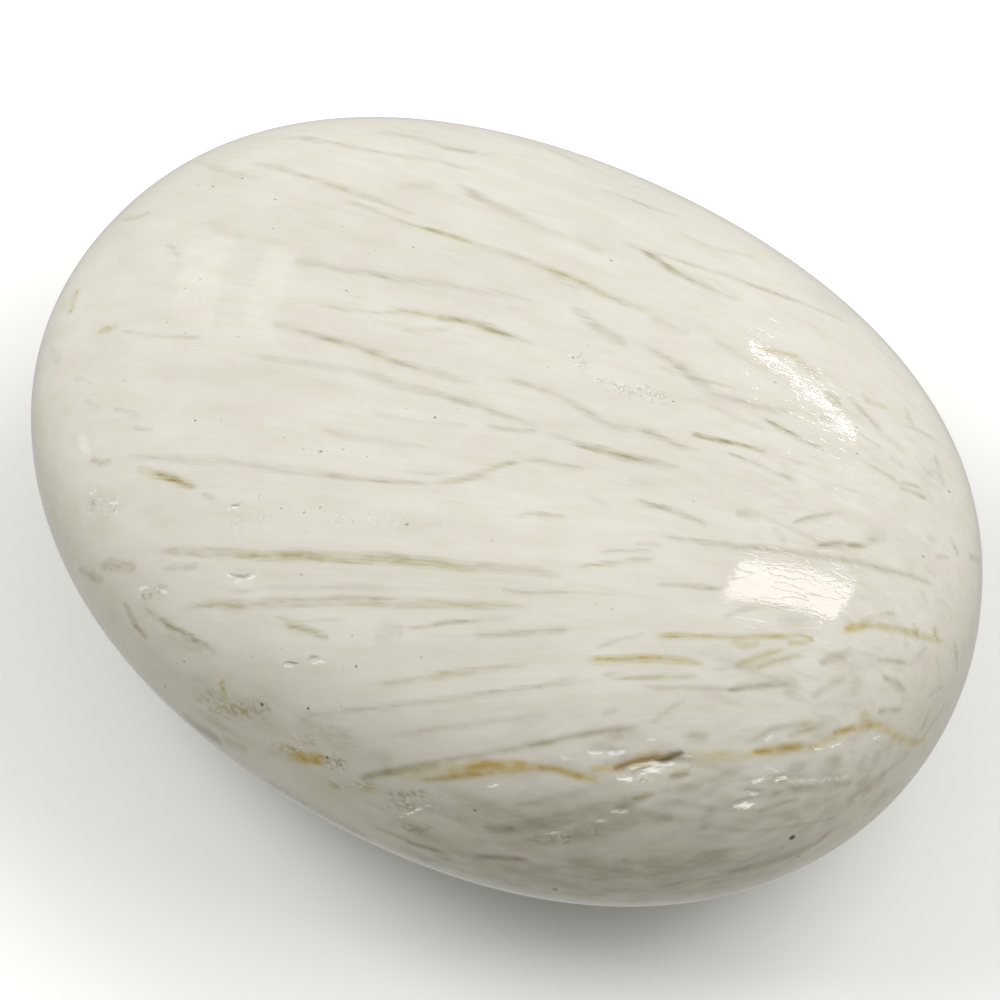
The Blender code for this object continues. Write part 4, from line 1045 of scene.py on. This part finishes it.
HOLLOWS = (
    Hollow(turn=-33.0, tilt=29.0, length=3.6, width=1.5, depth=0.7, lean=-5.0),
    Hollow(turn=-28.6, tilt=29.9, length=3.2, width=1.1, depth=0.9, lean=3.0),
    Hollow(turn=-35.9, tilt=32.1, length=2.2, width=0.6, depth=0.35, lean=0.0),
    Hollow(turn=-18.6, tilt=20.4, length=2.6, width=1.3, depth=0.5, lean=-36.0),
    Hollow(turn=-14.0, tilt=21.3, length=3.4, width=0.9, depth=0.4, lean=-2.0),
    Hollow(turn=-111.8, tilt=28.6, length=3.0, width=1.0, depth=0.35, lean=31.0),
    Hollow(turn=-98.3, tilt=24.2, length=2.6, width=0.7, depth=0.3, lean=33.0),
    Hollow(turn=-89.6, tilt=39.3, length=2.1, width=0.6, depth=0.3, lean=27.0),
)


@dataclass
class PalmStone:
    """The stone's skin: a grid of meridians from the -X end to the +X end, finer where it is looked at."""

    form: StoneForm = field(default_factory=StoneForm)
    needles: Needles = field(default_factory=Needles)
    around: int = 380
    along: int = 261
    samples: int = 2001
    belly_coarseness: float = 1.7
    sheets: int = 9
    patch_heart: float = 0.3  # share of a patch's radius within which it is at its strongest

    def headings(self) -> np.ndarray:
        """Unit headings of the grid, by ring along X and by meridian around it.

        The heading is (-cos s, sin s cos w, sin s sin w), where s runs from end to end and w runs around.
        Both are spread so that the cells come out even, and larger on the belly.

        Returns:
            An array of rings by meridians by three, without the two ends.
        """
        form = self.form
        s = np.linspace(0.0, math.pi, self.samples)
        section = (form.half_width + form.crown_rise) / 2
        end_speed = np.hypot(form.half_length * np.sin(s), section * np.cos(s))
        s = even_spacing(0.0, math.pi, self.along + 1, end_speed)[1:-1, None]
        w = np.linspace(-0.5 * math.pi, 1.5 * math.pi, self.samples)
        around_speed = np.hypot(form.half_width * np.sin(w), form.crown_rise * np.cos(w))
        belly = np.clip(0.5 - 1.5 * np.sin(w + 0.2), 0.0, 1.0)
        around_speed /= 1.0 + (self.belly_coarseness - 1.0) * belly
        w = even_spacing(w[0], w[-1], self.around + 1, around_speed)[None, :-1]
        grid = np.broadcast_arrays(-np.cos(s), np.sin(s) * np.cos(w), np.sin(s) * np.sin(w))
        return np.stack(grid, axis=-1)

    def faces(self, rings: int, meridians: int) -> list:
        """Quads between neighbouring rings and meridians, and a fan of triangles round each end.

        Args:
            rings: number of rings.
            meridians: number of meridians.

        Returns:
            The faces' vertex numbers.
        """
        ring = np.arange(meridians)
        following = np.roll(ring, -1)
        base = np.arange(rings - 1)[:, None] * meridians
        corners = (base + ring, base + meridians + ring, base + meridians + following, base + following)
        quads = np.stack(corners, axis=-1).reshape(-1, 4)
        first, last = rings * meridians, (rings - 1) * meridians
        start = np.stack((ring, following, np.full_like(ring, first)), axis=-1)
        stop = np.stack((last + following, last + ring, np.full_like(ring, first + 1)), axis=-1)
        return quads.tolist() + start.tolist() + stop.tolist()

    def specks(self, points: np.ndarray, view: Viewpoint) -> np.ndarray:
        """Where each point lies in the disc of its nearest speck, and how strong that speck is there.

        Args:
            points: rows of surface points.
            view: what the specks' pixels are seen from.

        Returns:
            Two shares of the speck's radius, right and up, and a strength, per point.
        """
        pixels = np.array([speck.pixel for speck in SPECKS], float)
        spots, normals = self.form.meet(view.eye, view.rays(pixels))
        values = np.tile((9.0, 9.0, 0.0), (len(points), 1))
        for speck, spot, normal in zip(SPECKS, spots, normals):
            near = np.flatnonzero(np.linalg.norm(points - spot, axis=1) < speck.radius + 0.8)
            right = unit(np.cross((0.0, 0.0, 1.0), normal))
            offset = (points[near] - spot) / speck.radius
            values[near] = np.stack(
                (offset @ right, offset @ np.cross(normal, right), np.full(near.size, speck.strength)), axis=1
            )
        return values

    def patches(self, points: np.ndarray, view: Viewpoint, spots: tuple[Spot, ...]) -> np.ndarray:
        """How deep each vertex lies in one of the patches, from 0 outside to 1 in the middle.

        Args:
            points: the vertices.
            view: where the patches' pixels are seen from.
            spots: the patches.

        Returns:
            One value a vertex.
        """
        pixels = np.array([spot.pixel for spot in spots], float)
        centres, _ = self.form.meet(view.eye, view.rays(pixels))
        inside = np.zeros(len(points))
        for centre, spot in zip(centres, spots):
            gap = np.linalg.norm(points - centre, axis=1) / spot.radius
            inside = np.maximum(inside, spot.strength * (1.0 - smooth(self.patch_heart, 1.0, gap)))
        return inside

    def build(self, marks: list[Mark], view: Viewpoint) -> bpy.types.Object:
        """Makes the skin as one closed mesh, with its chips pressed in and its streaks drawn on.

        Args:
            marks: the streaks, already laid on the surface.
            view: what the pixels of specks and rough patches are seen from.

        Returns:
            The stone.
        """
        grid = self.headings()
        ends = np.array(((-1.0, 0.0, 0.0), (1.0, 0.0, 0.0)))
        headings = np.concatenate((grid.reshape(-1, 3), ends))
        points, normals = self.form.point(headings), self.form.out(headings)
        self.placing = Placing(points.min(axis=0), points.max(axis=0), *map(np.array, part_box(NODE)))
        depth = np.max([hollow.press(self.form, points, normals) for hollow in HOLLOWS], axis=0)
        mesh = bpy.data.meshes.new("polished_stone")
        pressed = self.placing.metres(points - depth[:, None] * normals)
        mesh.from_pydata(pressed, [], self.faces(*grid.shape[:2]))
        mesh.shade_smooth()

        sheets = Sheets(points, self.sheets)
        for mark in marks:
            sheets.draw(mark)
        sheets.store(mesh)
        LOG.info("%d streaks on %d sheets, %d of them crowded", len(marks), sheets.count, sheets.crowded)
        for name, values in (
            ("needles", self.needles.place(points)),
            ("specks", self.specks(points, view)),
            ("hollow", depth),
            ("rough", self.patches(points, view, ROUGH_PATCHES)),
            ("brushed", self.patches(points, view, BRUSHED_PATCHES)),
            # How far the surface faces away from straight up, for the painted shade on the wall.
            ("wall", 1.0 - smooth(0.0, 0.9, normals[:, 2])),
        ):
            kind, key = ("FLOAT", "value") if values.ndim == 1 else ("FLOAT_VECTOR", "vector")
            attribute = mesh.attributes.new(name, kind, "POINT")
            attribute.data.foreach_set(key, values.astype(np.float32).ravel())

        stone = bpy.data.objects.new("polished_stone", mesh)
        bpy.context.scene.collection.objects.link(stone)
        return stone


def add(tree: bpy.types.NodeTree, kind: str, settings: dict | None = None, **inputs) -> bpy.types.Node:
    """Adds a node with its settings and links.

    Args:
        tree: where it goes.
        kind: the node's type.
        settings: the node's own settings, by name.
        inputs: what goes in, by the socket's name with _ for a space, or by its number after an n: a
            socket to link from, or a value.

    Returns:
        The node.
    """
    made = tree.nodes.new(kind)
    for name, value in (settings or {}).items():
        setattr(made, name, value)
    for name, value in inputs.items():
        socket = made.inputs[int(name[1:]) if name[1:].isdigit() else name.replace("_", " ")]
        if isinstance(value, bpy.types.NodeSocket):
            tree.links.new(value, socket)
        else:
            socket.default_value = value
    return made


@dataclass
class WildStreaks:
    """Streaks on the sides that no pixel reaches: they start at random and follow the needles."""

    form: StoneForm
    needles: Needles
    view: Viewpoint
    count: int = 150
    seed: int = 7
    step: float = 0.6
    longest: float = 24.0
    fewest_steps: int = 6
    tint_odds: tuple = (0.34, 0.26, 0.18, 0.16, 0.06)
    half_widths: tuple[float, float] = (0.10, 0.30)
    strengths: tuple[float, float] = (0.2, 0.5)
    softness: tuple[float, float] = (0.10, 0.20)
    sight: float = 0.10  # how much the surface may face the eye and still count as out of sight

    def grow(self) -> list[Mark]:
        """Walks all streaks along the needles at once, and keeps what lies out of the picture's sight.

        Returns:
            The streaks, laid on the surface.
        """
        chance = np.random.default_rng(self.seed)
        spots = self.form.point(unit(chance.normal(size=(self.count, 3)) * (1.0, 0.8, 0.5)))
        trail = []
        for _ in range(int(self.longest / self.step)):
            heading = self.form.heading(spots)
            spots, normals = self.form.point(heading), self.form.out(heading)
            trail.append((spots, normals))
            spots = spots + self.step * self.needles.direction(spots, normals)
        points = np.stack([spots for spots, _ in trail], axis=1)
        normals = np.stack([normals for _, normals in trail], axis=1)
        facing = (unit(self.view.eye - points) * normals).sum(axis=2)
        steps = chance.integers(self.fewest_steps, len(trail), self.count)
        marks = []
        kinds = chance.choice(len(self.tint_odds), self.count, p=self.tint_odds)
        for number in range(self.count):
            hidden = np.flatnonzero(facing[number, :steps[number]] < self.sight)
            if hidden.size < self.fewest_steps - 1 or hidden[-1] - hidden[0] != hidden.size - 1:
                continue
            above, below = chance.uniform(*self.half_widths, 2)
            strength, tint = chance.uniform(*self.strengths), list(Tint)[kinds[number]]
            marks.append(Mark(
                f"wild {number}", (), above, below, strength, tint, chance.uniform(*self.softness), 0.0,
                points[number, hidden], normals[number, hidden],
            ))
        return marks


Tree = bpy.types.NodeTree
Socket = bpy.types.NodeSocket
Grain = tuple[float, ...]
Range = tuple[float, float, float, float]


@dataclass(frozen=True)
class Scolecite:
    """Polished white scolecite: a dense felt of fine needles, glossy and a little cloudy.

    A grain is a noise's size across the needles and along them, in millimetres, and how many finer layers
    it has where they aren't two. A range carries its first two values to its last two.
    """

    body: str = "d2cfc5"
    cloud: str = "c9c6b9"
    blush: str = "fefbfb"
    moss: str = "fbfcf6"
    # Painted shade: the darker grey laid where the surface faces sideways and down.
    wall: str = "d3d2cb"
    roughness: float = 0.025
    ior: float = 1.515

    ground_grain: Grain = (6.0, 9.0)
    ground_share: float = 0.5
    strand_grain: Grain = (1.5, 18.0)
    cloud_range: Range = (0.38, 0.62, 0.0, 0.7)
    hair_grain: Grain = (0.22, 6.0)
    hair_range: Range = (0.45, 0.75, 0.0, 0.08)
    blush_grain: Grain = (1.6, 2.6)
    blush_range: Range = (0.42, 0.66, 0.0, 1.0)
    moss_grain: Grain = (0.9, 3.5)
    moss_range: Range = (0.48, 0.70, 0.0, 1.0)

    slants: tuple[float, float] = (0.3, -0.22)
    stroke_grain: Grain = (1.1, 8.0, 1.0)
    stroke_range: Range = (0.52, 0.74, 0.0, 0.30)

    fray_grain: Grain = (0.22, 3.0, 3.0)
    fray_range: Range = (0.25, 0.75, -0.14, 0.14)
    streak_grain: Grain = (0.13, 2.4, 3.0)
    streak_range: Range = (0.32, 0.68, 0.55, 1.35)
    calm_range: Range = (0.0, 0.5, 1.0, 0.2)
    cloudy_grain: Grain = (0.7, 1.4)
    cloudy_range: Range = (0.3, 0.7, 0.55, 1.45)
    spot_grain: Grain = (0.25, 0.35)
    spot_range: Range = (0.42, 0.58, 0.15, 1.5)
    crumb_grain: Grain = (0.14, 0.6, 3.0)
    crumb_range: Range = (0.35, 0.65, -0.10, 0.18)
    edge_range: Range = (-1.0, 1.0, 1.0, 0.0)
    white_from: float = 0.95  # place among the tints past which a streak covers instead of tinting

    speck_range: Range = (0.5, 1.1, 1.0, 0.0)
    worm_grain: Grain = (0.45, 0.6, 3.0)
    # Squiggles of tiny pits: dark in them, white on their rims, partly painted glints.
    pit_level: float = 0.5
    pit_range: Range = (0.0, 0.03, 0.36, 0.0)
    rim_level: float = 0.56
    rim_range: Range = (0.0, 0.03, 0.45, 0.0)

    chip_matt: Range = (0.0, 0.3, 0.0, 0.4)
    patch_matt: float = 0.15
    ripple_grain: Grain = (0.25, 0.5, 3.0)
    ripple_height: float = 0.0042
    groove_grain: Grain = (1.2, 6.0)
    groove_level: float = 0.5
    groove_range: Range = (0.0, 0.025, -0.003, 0.0)
    relief_scale: float = 0.001  # metres of relief at a height of one

    def read(self, tree: Tree, name: str) -> bpy.types.NodeOutputs:
        """What the mesh holds under this name at each vertex."""
        return add(tree, "ShaderNodeAttribute", {"attribute_name": name}).outputs

    def parts(self, tree: Tree, vector: Socket) -> bpy.types.NodeOutputs:
        """The three numbers in a vector."""
        return add(tree, "ShaderNodeSeparateXYZ", Vector=vector).outputs

    def noise(self, tree: Tree, source: Socket, grain: Grain) -> Socket:
        """Noise drawn out along the needles.

        Args:
            tree: the material's nodes.
            source: the needles' three lengths in millimetres.
            grain: the noise's sizes and layers.

        Returns:
            A value about 0.5.
        """
        across, along, detail = (*grain, 2.0)[:3]
        scale = (1.0 / across, 1.0 / across, 1.0 / along)
        scaled = add(tree, "ShaderNodeVectorMath", {"operation": "MULTIPLY"}, n0=source, n1=scale)
        made = add(tree, "ShaderNodeTexNoise", Vector=scaled.outputs[0], Scale=1.0, Detail=detail)
        return made.outputs["Fac"]

    def spread(self, tree: Tree, value: Socket, span: Range, kind: str = "LINEAR") -> Socket:
        """Carries a value along a range, and keeps it between the range's last two.

        Args:
            tree: the material's nodes.
            value: what is carried.
            span: the range.
            kind: how it rises in between.

        Returns:
            The value.
        """
        low, high, start, stop = span
        return add(
            tree, "ShaderNodeMapRange", {"interpolation_type": kind, "clamp": True},
            Value=value, From_Min=low, From_Max=high, To_Min=start, To_Max=stop,
        ).outputs["Result"]

    def layer(self, tree: Tree, source: Socket, grain: Grain, span: Range) -> Socket:
        """Noise drawn out along the needles and carried along a range."""
        return self.spread(tree, self.noise(tree, source, grain), span)

    def math(self, tree: Tree, operation: str, first: Socket, second: Socket | float = 0.0) -> Socket:
        """One step of arithmetic on values."""
        return add(tree, "ShaderNodeMath", {"operation": operation}, n0=first, n1=second).outputs[0]

    def away(self, tree: Tree, value: Socket, level: float) -> Socket:
        """How far a value lies from a level."""
        return self.math(tree, "ABSOLUTE", self.math(tree, "SUBTRACT", value, level))

    def tinted(self, tree: Tree, colour: Socket, amount: Socket, tint: Socket | tuple) -> Socket:
        """A colour with an amount of a tint laid over it, as a glaze is."""
        glaze = {"data_type": "RGBA", "blend_type": "MULTIPLY"}
        return add(tree, "ShaderNodeMix", glaze, n0=amount, n6=colour, n7=tint).outputs[2]

    def covered(self, tree: Tree, colour: Socket | tuple, amount: Socket, paint: str) -> Socket:
        """A colour with an amount of an opaque one laid over it."""
        return add(
            tree, "ShaderNodeMix", {"data_type": "RGBA"}, n0=amount, n6=colour, n7=linear(paint)
        ).outputs[2]

    def ground(self, tree: Tree, lie: Socket) -> Socket:
        """White, with cloudy, slightly greyer drifts, strands and hairs that follow the needles.

        Where the surface turns from facing up to facing sideways and down, a darker grey is laid over it:
        painted shade.

        Args:
            tree: the material's nodes.
            lie: the needles' three lengths in millimetres.

        Returns:
            The colour.
        """
        drift = self.math(
            tree, "ADD",
            self.math(tree, "MULTIPLY", self.noise(tree, lie, self.ground_grain), self.ground_share),
            self.math(tree, "MULTIPLY", self.noise(tree, lie, self.strand_grain), 1.0 - self.ground_share),
        )
        colour = self.covered(tree, linear(self.body), self.spread(tree, drift, self.cloud_range), self.cloud)
        for amount, tint in (
            (self.layer(tree, lie, self.hair_grain, self.hair_range), Tint.GREY.value),
            (self.layer(tree, lie, self.blush_grain, self.blush_range), self.blush),
            (self.layer(tree, lie, self.moss_grain, self.moss_range), self.moss),
            # Painted shade on the wall.
            (self.read(tree, "wall")["Fac"], self.wall),
        ):
            colour = self.tinted(tree, colour, amount, linear(tint))
        return colour

    def strokes(self, tree: Tree, colour: Socket, lie: Socket, brushed: Socket) -> Socket:
        """Lays short strokes at two slants over a colour, where bundles of needles cross.

        Args:
            tree: the material's nodes.
            colour: what lies below.
            lie: the needles' three lengths in millimetres.
            brushed: how much the bundles cross.

        Returns:
            The colour with the strokes on it.
        """
        length = self.parts(tree, lie)["Z"]
        for slant, tint in zip(self.slants, (Tint.OLIVE, Tint.GREY)):
            shift = self.math(tree, "MULTIPLY", length, slant)
            shift = add(tree, "ShaderNodeCombineXYZ", X=shift, Y=shift).outputs[0]
            turned = add(tree, "ShaderNodeVectorMath", {"operation": "ADD"}, n0=lie, n1=shift).outputs[0]
            stroke = self.layer(tree, turned, self.stroke_grain, self.stroke_range)
            amount = self.math(tree, "MULTIPLY", stroke, brushed)
            colour = self.tinted(tree, colour, amount, linear(tint.value))
        return colour

    def streak(
        self, tree: Tree, colour: Socket, number: int,
        fray: Socket, grain: Socket, spots: Socket, crumbs: Socket,
    ) -> Socket:
        """Lays one sheet of streaks over a colour.

        Args:
            tree: the material's nodes.
            colour: what lies below.
            number: the sheet's number.
            fray: moves the streaks' edges in and out, needle by needle.
            grain: makes a streak stronger and weaker, needle by needle.
            spots: breaks up the mottled ones.
            crumbs: breaks up the white ones, which cover instead of tinting.

        Returns:
            The colour with the streaks on it.
        """
        sheet = self.read(tree, f"streaks_{number}")
        kind = self.parts(tree, self.read(tree, f"kinds_{number}")["Vector"])
        part = self.parts(tree, sheet["Vector"])
        white = self.math(tree, "GREATER_THAN", kind["X"], self.white_from)
        side = self.math(tree, "GREATER_THAN", part["X"])
        width = add(tree, "ShaderNodeMix", n0=side, n2=part["Z"], n3=part["Y"]).outputs[0]
        past = self.math(tree, "SUBTRACT", self.math(tree, "ABSOLUTE", part["X"]), width)
        ragged = add(tree, "ShaderNodeMix", n0=white, n2=fray, n3=crumbs).outputs[0]
        past = self.math(tree, "DIVIDE", self.math(tree, "ADD", past, ragged), kind["Y"])
        cover = self.spread(tree, past, self.edge_range, "SMOOTHSTEP")
        amount = self.math(tree, "MULTIPLY", self.math(tree, "MULTIPLY", cover, sheet["Alpha"]), grain)
        spotted = add(tree, "ShaderNodeMix", n0=kind["Z"], n2=1.0, n3=spots).outputs[0]
        ramp = add(tree, "ShaderNodeValToRGB", n0=kind["X"])
        first, *middle, last = Tint
        ramp.color_ramp.elements[0].color = linear(first.value)
        ramp.color_ramp.elements[1].color = linear(last.value)
        for tint in middle:
            ramp.color_ramp.elements.new(tint.place()).color = linear(tint.value)
        shown = self.math(tree, "MULTIPLY", amount, spotted)
        colour = self.tinted(tree, colour, shown, ramp.outputs["Color"])
        return self.covered(tree, colour, self.math(tree, "MULTIPLY", amount, white), Tint.FROST_AND_GLINT.value)

    def streaks(self, tree: Tree, colour: Socket, lie: Socket, brushed: Socket, sheets: int) -> Socket:
        """Lays all sheets of streaks over a colour, frayed needle by needle, and calmer in brushed patches.

        Args:
            tree: the material's nodes.
            colour: what lies below.
            lie: the needles' three lengths in millimetres.
            brushed: how much the bundles cross.
            sheets: how many sheets there are.

        Returns:
            The colour with the streaks on it.
        """
        calm = self.spread(tree, brushed, self.calm_range)
        fray = self.math(tree, "MULTIPLY", self.layer(tree, lie, self.fray_grain, self.fray_range), calm)
        grain = self.layer(tree, lie, self.streak_grain, self.streak_range)
        grain = add(tree, "ShaderNodeMix", n0=calm, n2=1.0, n3=grain).outputs[0]
        cloudy = self.layer(tree, lie, self.cloudy_grain, self.cloudy_range)
        grain = self.math(tree, "MULTIPLY", grain, cloudy)
        spots = self.layer(tree, lie, self.spot_grain, self.spot_range)
        crumbs = self.layer(tree, lie, self.crumb_grain, self.crumb_range)
        for number in range(1, sheets + 1):
            colour = self.streak(tree, colour, number, fray, grain, spots, crumbs)
        return colour

    def blemishes(self, tree: Tree, colour: Socket, lie: Socket, rough: Socket) -> Socket:
        """Lays specks over a colour, and squiggles of tiny pits in the rough patches: dark pits beside white
        rims, which are crushed crystal and partly painted glints.

        Args:
            tree: the material's nodes.
            colour: what lies below.
            lie: the needles' three lengths in millimetres.
            rough: how rough the patches are.

        Returns:
            The colour with the blemishes on it.
        """
        dark = linear(Tint.SPECK_AND_SHADE.value)
        part = self.parts(tree, self.read(tree, "specks")["Vector"])
        flat = add(tree, "ShaderNodeCombineXYZ", X=part["X"], Y=part["Y"]).outputs[0]
        reach = add(tree, "ShaderNodeVectorMath", {"operation": "LENGTH"}, n0=flat).outputs["Value"]
        cover = self.spread(tree, reach, self.speck_range, "SMOOTHSTEP")
        colour = self.tinted(tree, colour, self.math(tree, "MULTIPLY", cover, part["Z"]), dark)
        worm = self.noise(tree, lie, self.worm_grain)
        pits = self.spread(tree, self.away(tree, worm, self.pit_level), self.pit_range)
        colour = self.tinted(tree, colour, self.math(tree, "MULTIPLY", pits, rough), dark)
        # White on the pits' rims: crushed crystal and partly painted glints.
        rims = self.spread(tree, self.away(tree, worm, self.rim_level), self.rim_range)
        return self.covered(tree, colour, self.math(tree, "MULTIPLY", rims, rough), Tint.FROST_AND_GLINT.value)

    def matt(self, tree: Tree, rough: Socket) -> Socket:
        """How matt the stone is: polished, but not inside the chips and the rough patches.

        Args:
            tree: the material's nodes.
            rough: how rough the patches are.

        Returns:
            The roughness.
        """
        chipped = self.spread(tree, self.read(tree, "hollow")["Fac"], self.chip_matt)
        matt = self.math(tree, "ADD", chipped, self.math(tree, "MULTIPLY", rough, self.patch_matt))
        return self.math(tree, "ADD", matt, self.roughness)

    def relief(self, tree: Tree, lie: Socket) -> Socket:
        """A faint relief of needles and a few grooves between them, which make reflections ragged.

        Args:
            tree: the material's nodes.
            lie: the needles' three lengths in millimetres.

        Returns:
            The normal.
        """
        ripple = self.math(tree, "MULTIPLY", self.noise(tree, lie, self.ripple_grain), self.ripple_height)
        groove = self.away(tree, self.noise(tree, lie, self.groove_grain), self.groove_level)
        height = self.math(tree, "ADD", ripple, self.spread(tree, groove, self.groove_range))
        bump = add(tree, "ShaderNodeBump", Height=height, Distance=self.relief_scale, Strength=1.0)
        return bump.outputs["Normal"]

    def make(self, sheets: int) -> bpy.types.Material:
        """Makes the material.

        Args:
            sheets: how many sheets of streaks the stone carries.

        Returns:
            The material.
        """
        material = bpy.data.materials.new("polished_scolecite")
        material.use_nodes = True
        tree = material.node_tree
        lie = self.read(tree, "needles")["Vector"]
        brushed = self.read(tree, "brushed")["Fac"]
        rough = self.read(tree, "rough")["Fac"]
        colour = self.strokes(tree, self.ground(tree, lie), lie, brushed)
        colour = self.streaks(tree, colour, lie, brushed, sheets)
        colour = self.blemishes(tree, colour, lie, rough)
        shader = tree.nodes["Principled BSDF"]
        tree.links.new(colour, shader.inputs["Base Color"])
        tree.links.new(self.matt(tree, rough), shader.inputs["Roughness"])
        tree.links.new(self.relief(tree, lie), shader.inputs["Normal"])
        shader.inputs["IOR"].default_value = self.ior
        return material


AIM_HEIGHT = 0.012  # metres above the floor, about the middle of the stone


@dataclass
class Panel:
    """A soft rectangular light, aimed at the stone, with its long side turned by a roll about its aim.

    Most only light the stone, as the dim room all round does. The windows are also seen in the polish, or
    only there.
    """

    name: str
    azimuth: float
    elevation: float
    width: float
    height: float
    power: float
    roll: float = 0.0
    distance: float = 0.7
    seen: bool = False
    lights: bool = True
    tone: str = "ffffff"

    def make(self) -> bpy.types.Object:
        """Makes the light.

        Returns:
            The light object.
        """
        back = toward(self.azimuth, self.elevation)
        level = unit(np.cross((0.0, 0.0, 1.0), back))
        roll = math.radians(self.roll)
        right = math.cos(roll) * level + math.sin(roll) * np.cross(back, level)
        data = bpy.data.lights.new(self.name, "AREA")
        data.shape = "RECTANGLE"
        data.size, data.size_y, data.energy = self.width, self.height, self.power
        data.color = linear(self.tone)[:3]
        light = bpy.data.objects.new(self.name, data)
        turned = Matrix((right, np.cross(back, right), back)).transposed().to_4x4()
        light.matrix_world = Matrix.Translation(back * self.distance + (0.0, 0.0, AIM_HEIGHT)) @ turned
        light.visible_camera = False
        light.visible_glossy = self.seen
        light.visible_diffuse = self.lights
        bpy.context.scene.collection.objects.link(light)
        return light


LAMP = "fff0f2"

PANELS = (
    Panel("key", 84.5, 50.6, 0.30, 0.108, 0.75, roll=40.0),
    Panel("key's gloss", 84.5, 50.6, 0.30, 0.108, 0.62, roll=40.0, distance=0.69, seen=True, lights=False,
        tone=LAMP),
    Panel("strip", 113.0, 23.0, 0.175, 0.014, 0.10, roll=-4.0, seen=True, lights=False, tone=LAMP),
    Panel("left window", 156.5, 23.2, 0.06, 0.14, 0.017, roll=-32.0, seen=True, lights=False),
    Panel("left window 2", 150.3, 27.2, 0.03, 0.127, 0.008, roll=-30.0, seen=True, lights=False),
    Panel("left spot", -161.0, 11.0, 0.05, 0.06, 0.010, seen=True, lights=False),
    Panel("left", -150.0, 40.0, 0.5, 0.45, 3.09),
    Panel("right", 45.0, 42.0, 0.45, 0.4, 1.99),
    Panel("right low", 90.0, 17.0, 0.5, 0.3, 1.13),
)


@dataclass
class Studio:
    """A pale paper floor under a dark sky, lit by soft panels."""

    paper: str = "f2f2f0"
    half_floor: float = 3.0
    sky: float = 0.5
    panels: tuple = PANELS

    def build(self) -> None:
        """Makes the floor, the panels and the sky."""
        r = self.half_floor
        mesh = bpy.data.meshes.new("floor")
        mesh.from_pydata([(-r, -r, 0), (r, -r, 0), (r, r, 0), (-r, r, 0)], [], [(0, 1, 2, 3)])
        floor = bpy.data.objects.new("floor", mesh)
        bpy.context.scene.collection.objects.link(floor)
        floor.visible_glossy = False
        material = bpy.data.materials.new("floor_paper")
        material.use_nodes = True
        shader = material.node_tree.nodes["Principled BSDF"]
        shader.inputs["Base Color"].default_value = linear(self.paper)
        shader.inputs["Roughness"].default_value = 0.9
        shader.inputs["Specular IOR Level"].default_value = 0.0
        mesh.materials.append(material)
        for panel in self.panels:
            panel.make()
        world = bpy.data.worlds.new("studio")
        bpy.context.scene.world = world
        world.use_nodes = True
        world.node_tree.nodes["Background"].inputs["Color"].default_value = (1.0, 1.0, 1.0, 1.0)
        world.node_tree.nodes["Background"].inputs["Strength"].default_value = self.sky
        bpy.context.scene.view_settings.view_transform = "Standard"


def main() -> None:
    """Builds the stone and what it is seen with."""
    logging.basicConfig(level=logging.INFO, format="%(name)s: %(message)s")
    view, stone = Viewpoint(), PalmStone()
    for mark in MARKS:
        mark.lay(stone.form, view)
    stone.needles.follow([mark for mark in MARKS if np.ptp(np.array(mark.path)[:, 0]) > LONG_STREAK])
    wild = WildStreaks(stone.form, stone.needles, view).grow()
    LOG.info("%d streaks by hand and %d at random", len(MARKS), len(wild))
    piece = stone.build([*MARKS, *wild], view)
    piece.data.materials.append(Scolecite().make(stone.sheets))
    LOG.info("skin of %d vertices", len(piece.data.vertices))
    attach(piece, "root")
    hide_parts(NODE)
    view.make_camera(stone.placing)
    Studio().build()
    LOG.info("floor, camera and %d lights", len(PANELS))


if __name__ == "__main__":
    main()
